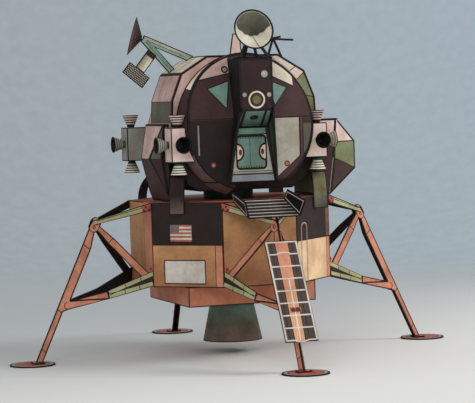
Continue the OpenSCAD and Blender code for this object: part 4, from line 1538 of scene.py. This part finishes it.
class LANDER_OT_stage(bpy.types.Operator):
    """Set the floor, the backdrop, the lamps and the camera"""

    bl_idname = "lander.stage"
    bl_label = "Stage"

    def execute(self, context):
        look = context.scene.lander_stage
        turn = np.linspace(0, 2 * math.pi, 96, endpoint=False)
        ring = np.stack([np.cos(turn), np.sin(turn)], -1)

        def spun(radii, heights):
            """A profile of radii and heights, spun about the upright axis."""
            flat = radii[:, None, None] * ring
            rise = np.broadcast_to(heights[:, None, None], flat.shape[:2] + (1,))
            return np.concatenate([flat, rise], -1)

        # The floor is a disc in rings, whose middle hole is too small to see.
        floor_radii = np.array([6.0, 1.5, 0.4, 0.00001])
        floor = grid_object("floor", spun(floor_radii, np.zeros(len(floor_radii))),
                            floor_material(tuple(look.floor), tuple(look.floor_far)))
        # The wall starts flat, bends up along a quarter of an ellipse, and then stands upright.
        foot_r, wall_r, bend_h, step_h, wall_h, above_floor = 0.22, 0.58, 0.30, 0.8, 1.4, 0.0005
        bend = np.linspace(0, math.pi / 2, 16)
        radii = np.concatenate([foot_r + (wall_r - foot_r) * np.sin(bend), [wall_r, wall_r]])
        heights = np.concatenate([bend_h * (1 - np.cos(bend)), [step_h, wall_h]])
        wall = grid_object("backdrop", spun(radii[::-1], heights[::-1] + above_floor),
                           backdrop_material(tuple(look.wall_left), tuple(look.wall_right)))
        wall.visible_shadow = False
        self.lamp("Key", (0.95, -0.45, 0.75), 0.55, look.key_power)
        self.lamp("Fill", (-0.5, -0.95, 0.7), 0.6, look.fill_power)
        world = bpy.data.worlds.new("Studio")
        context.scene.world = world
        world.use_nodes = True
        ground = world.node_tree.nodes["Background"]
        ground.inputs["Color"].default_value = (1, 1, 1, 1)
        ground.inputs["Strength"].default_value = look.world_light
        self.camera(context.scene)
        context.scene.view_settings.view_transform = "Standard"
        return {"FINISHED"}

    def lamp(self, name, place, size, power):
        """A round area lamp that faces the model."""
        data = bpy.data.lights.new(name, "AREA")
        data.shape, data.size, data.energy = "DISK", size, power
        lamp = bpy.data.objects.new(name, data)
        lamp.location = place
        lamp.rotation_euler = (LOOK_AT - Vector(place)).to_track_quat("-Z", "Y").to_euler()
        bpy.context.scene.collection.objects.link(lamp)

    def camera(self, scene):
        """A long lens at the front left, a little above the model, and rolled a little."""
        azimuth, elevation, roll = (math.radians(a) for a in (-18.57, 2.881, -1.826))
        distance = 1.0326
        away = Vector((math.sin(azimuth) * math.cos(elevation), -math.cos(azimuth) * math.cos(elevation),
                       math.sin(elevation)))
        right = (-away).cross(Vector((0, 0, 1))).normalized()
        up = right.cross(-away)
        across = right * math.cos(roll) + up * math.sin(roll)
        over = up * math.cos(roll) - right * math.sin(roll)
        data = bpy.data.cameras.new("Camera")
        data.sensor_width, data.lens = 36, 164.73
        data.shift_x, data.shift_y = 0.0188, 0.0062
        data.clip_start, data.clip_end = 0.05, 20
        camera = bpy.data.objects.new("Camera", data)
        turn = Matrix((across, over, away)).transposed().to_4x4()
        camera.matrix_world = Matrix.Translation(LOOK_AT + away * distance) @ turn
        scene.collection.objects.link(camera)
        scene.camera = camera


STEPS = (LANDER_OT_stage, LANDER_OT_card, LANDER_OT_folds, LANDER_OT_body, LANDER_OT_legs,
         LANDER_OT_footpads, LANDER_OT_porch, LANDER_OT_ladder, LANDER_OT_cabin, LANDER_OT_tower,
         LANDER_OT_mid, LANDER_OT_bays, LANDER_OT_quads, LANDER_OT_antennas)


class LANDER_PT_panel(bpy.types.Panel):
    """Lists the steps and the settings"""

    bl_idname = "LANDER_PT_panel"
    bl_label = "Card Lander"
    bl_space_type = "VIEW_3D"
    bl_region_type = "UI"
    bl_category = "Card Lander"

    def draw(self, context):
        for step in STEPS:
            self.layout.operator(step.bl_idname)
        for settings in (context.scene.lander_ink, context.scene.lander_stage, context.scene.lander_paint):
            box = self.layout.box()
            for name in settings.__annotations__:
                box.prop(settings, name)


CLASSES = (LanderPaint, LanderInk, LanderStage, *STEPS, LANDER_PT_panel)


def register():
    """Registers the classes and adds their settings to the scene."""
    for item in CLASSES:
        bpy.utils.register_class(item)
    bpy.types.Scene.lander_paint = PointerProperty(type=LanderPaint)
    bpy.types.Scene.lander_ink = PointerProperty(type=LanderInk)
    bpy.types.Scene.lander_stage = PointerProperty(type=LanderStage)


def unregister():
    """Takes the settings and the classes away again."""
    for name in ("lander_stage", "lander_ink", "lander_paint"):
        delattr(bpy.types.Scene, name)
    for item in reversed(CLASSES):
        bpy.utils.unregister_class(item)


def main():
    """Runs every step in order."""
    register()
    for step in STEPS:
        group, name = step.bl_idname.split(".")
        getattr(getattr(bpy.ops, group), name)()


if __name__ == "__main__":
    main()
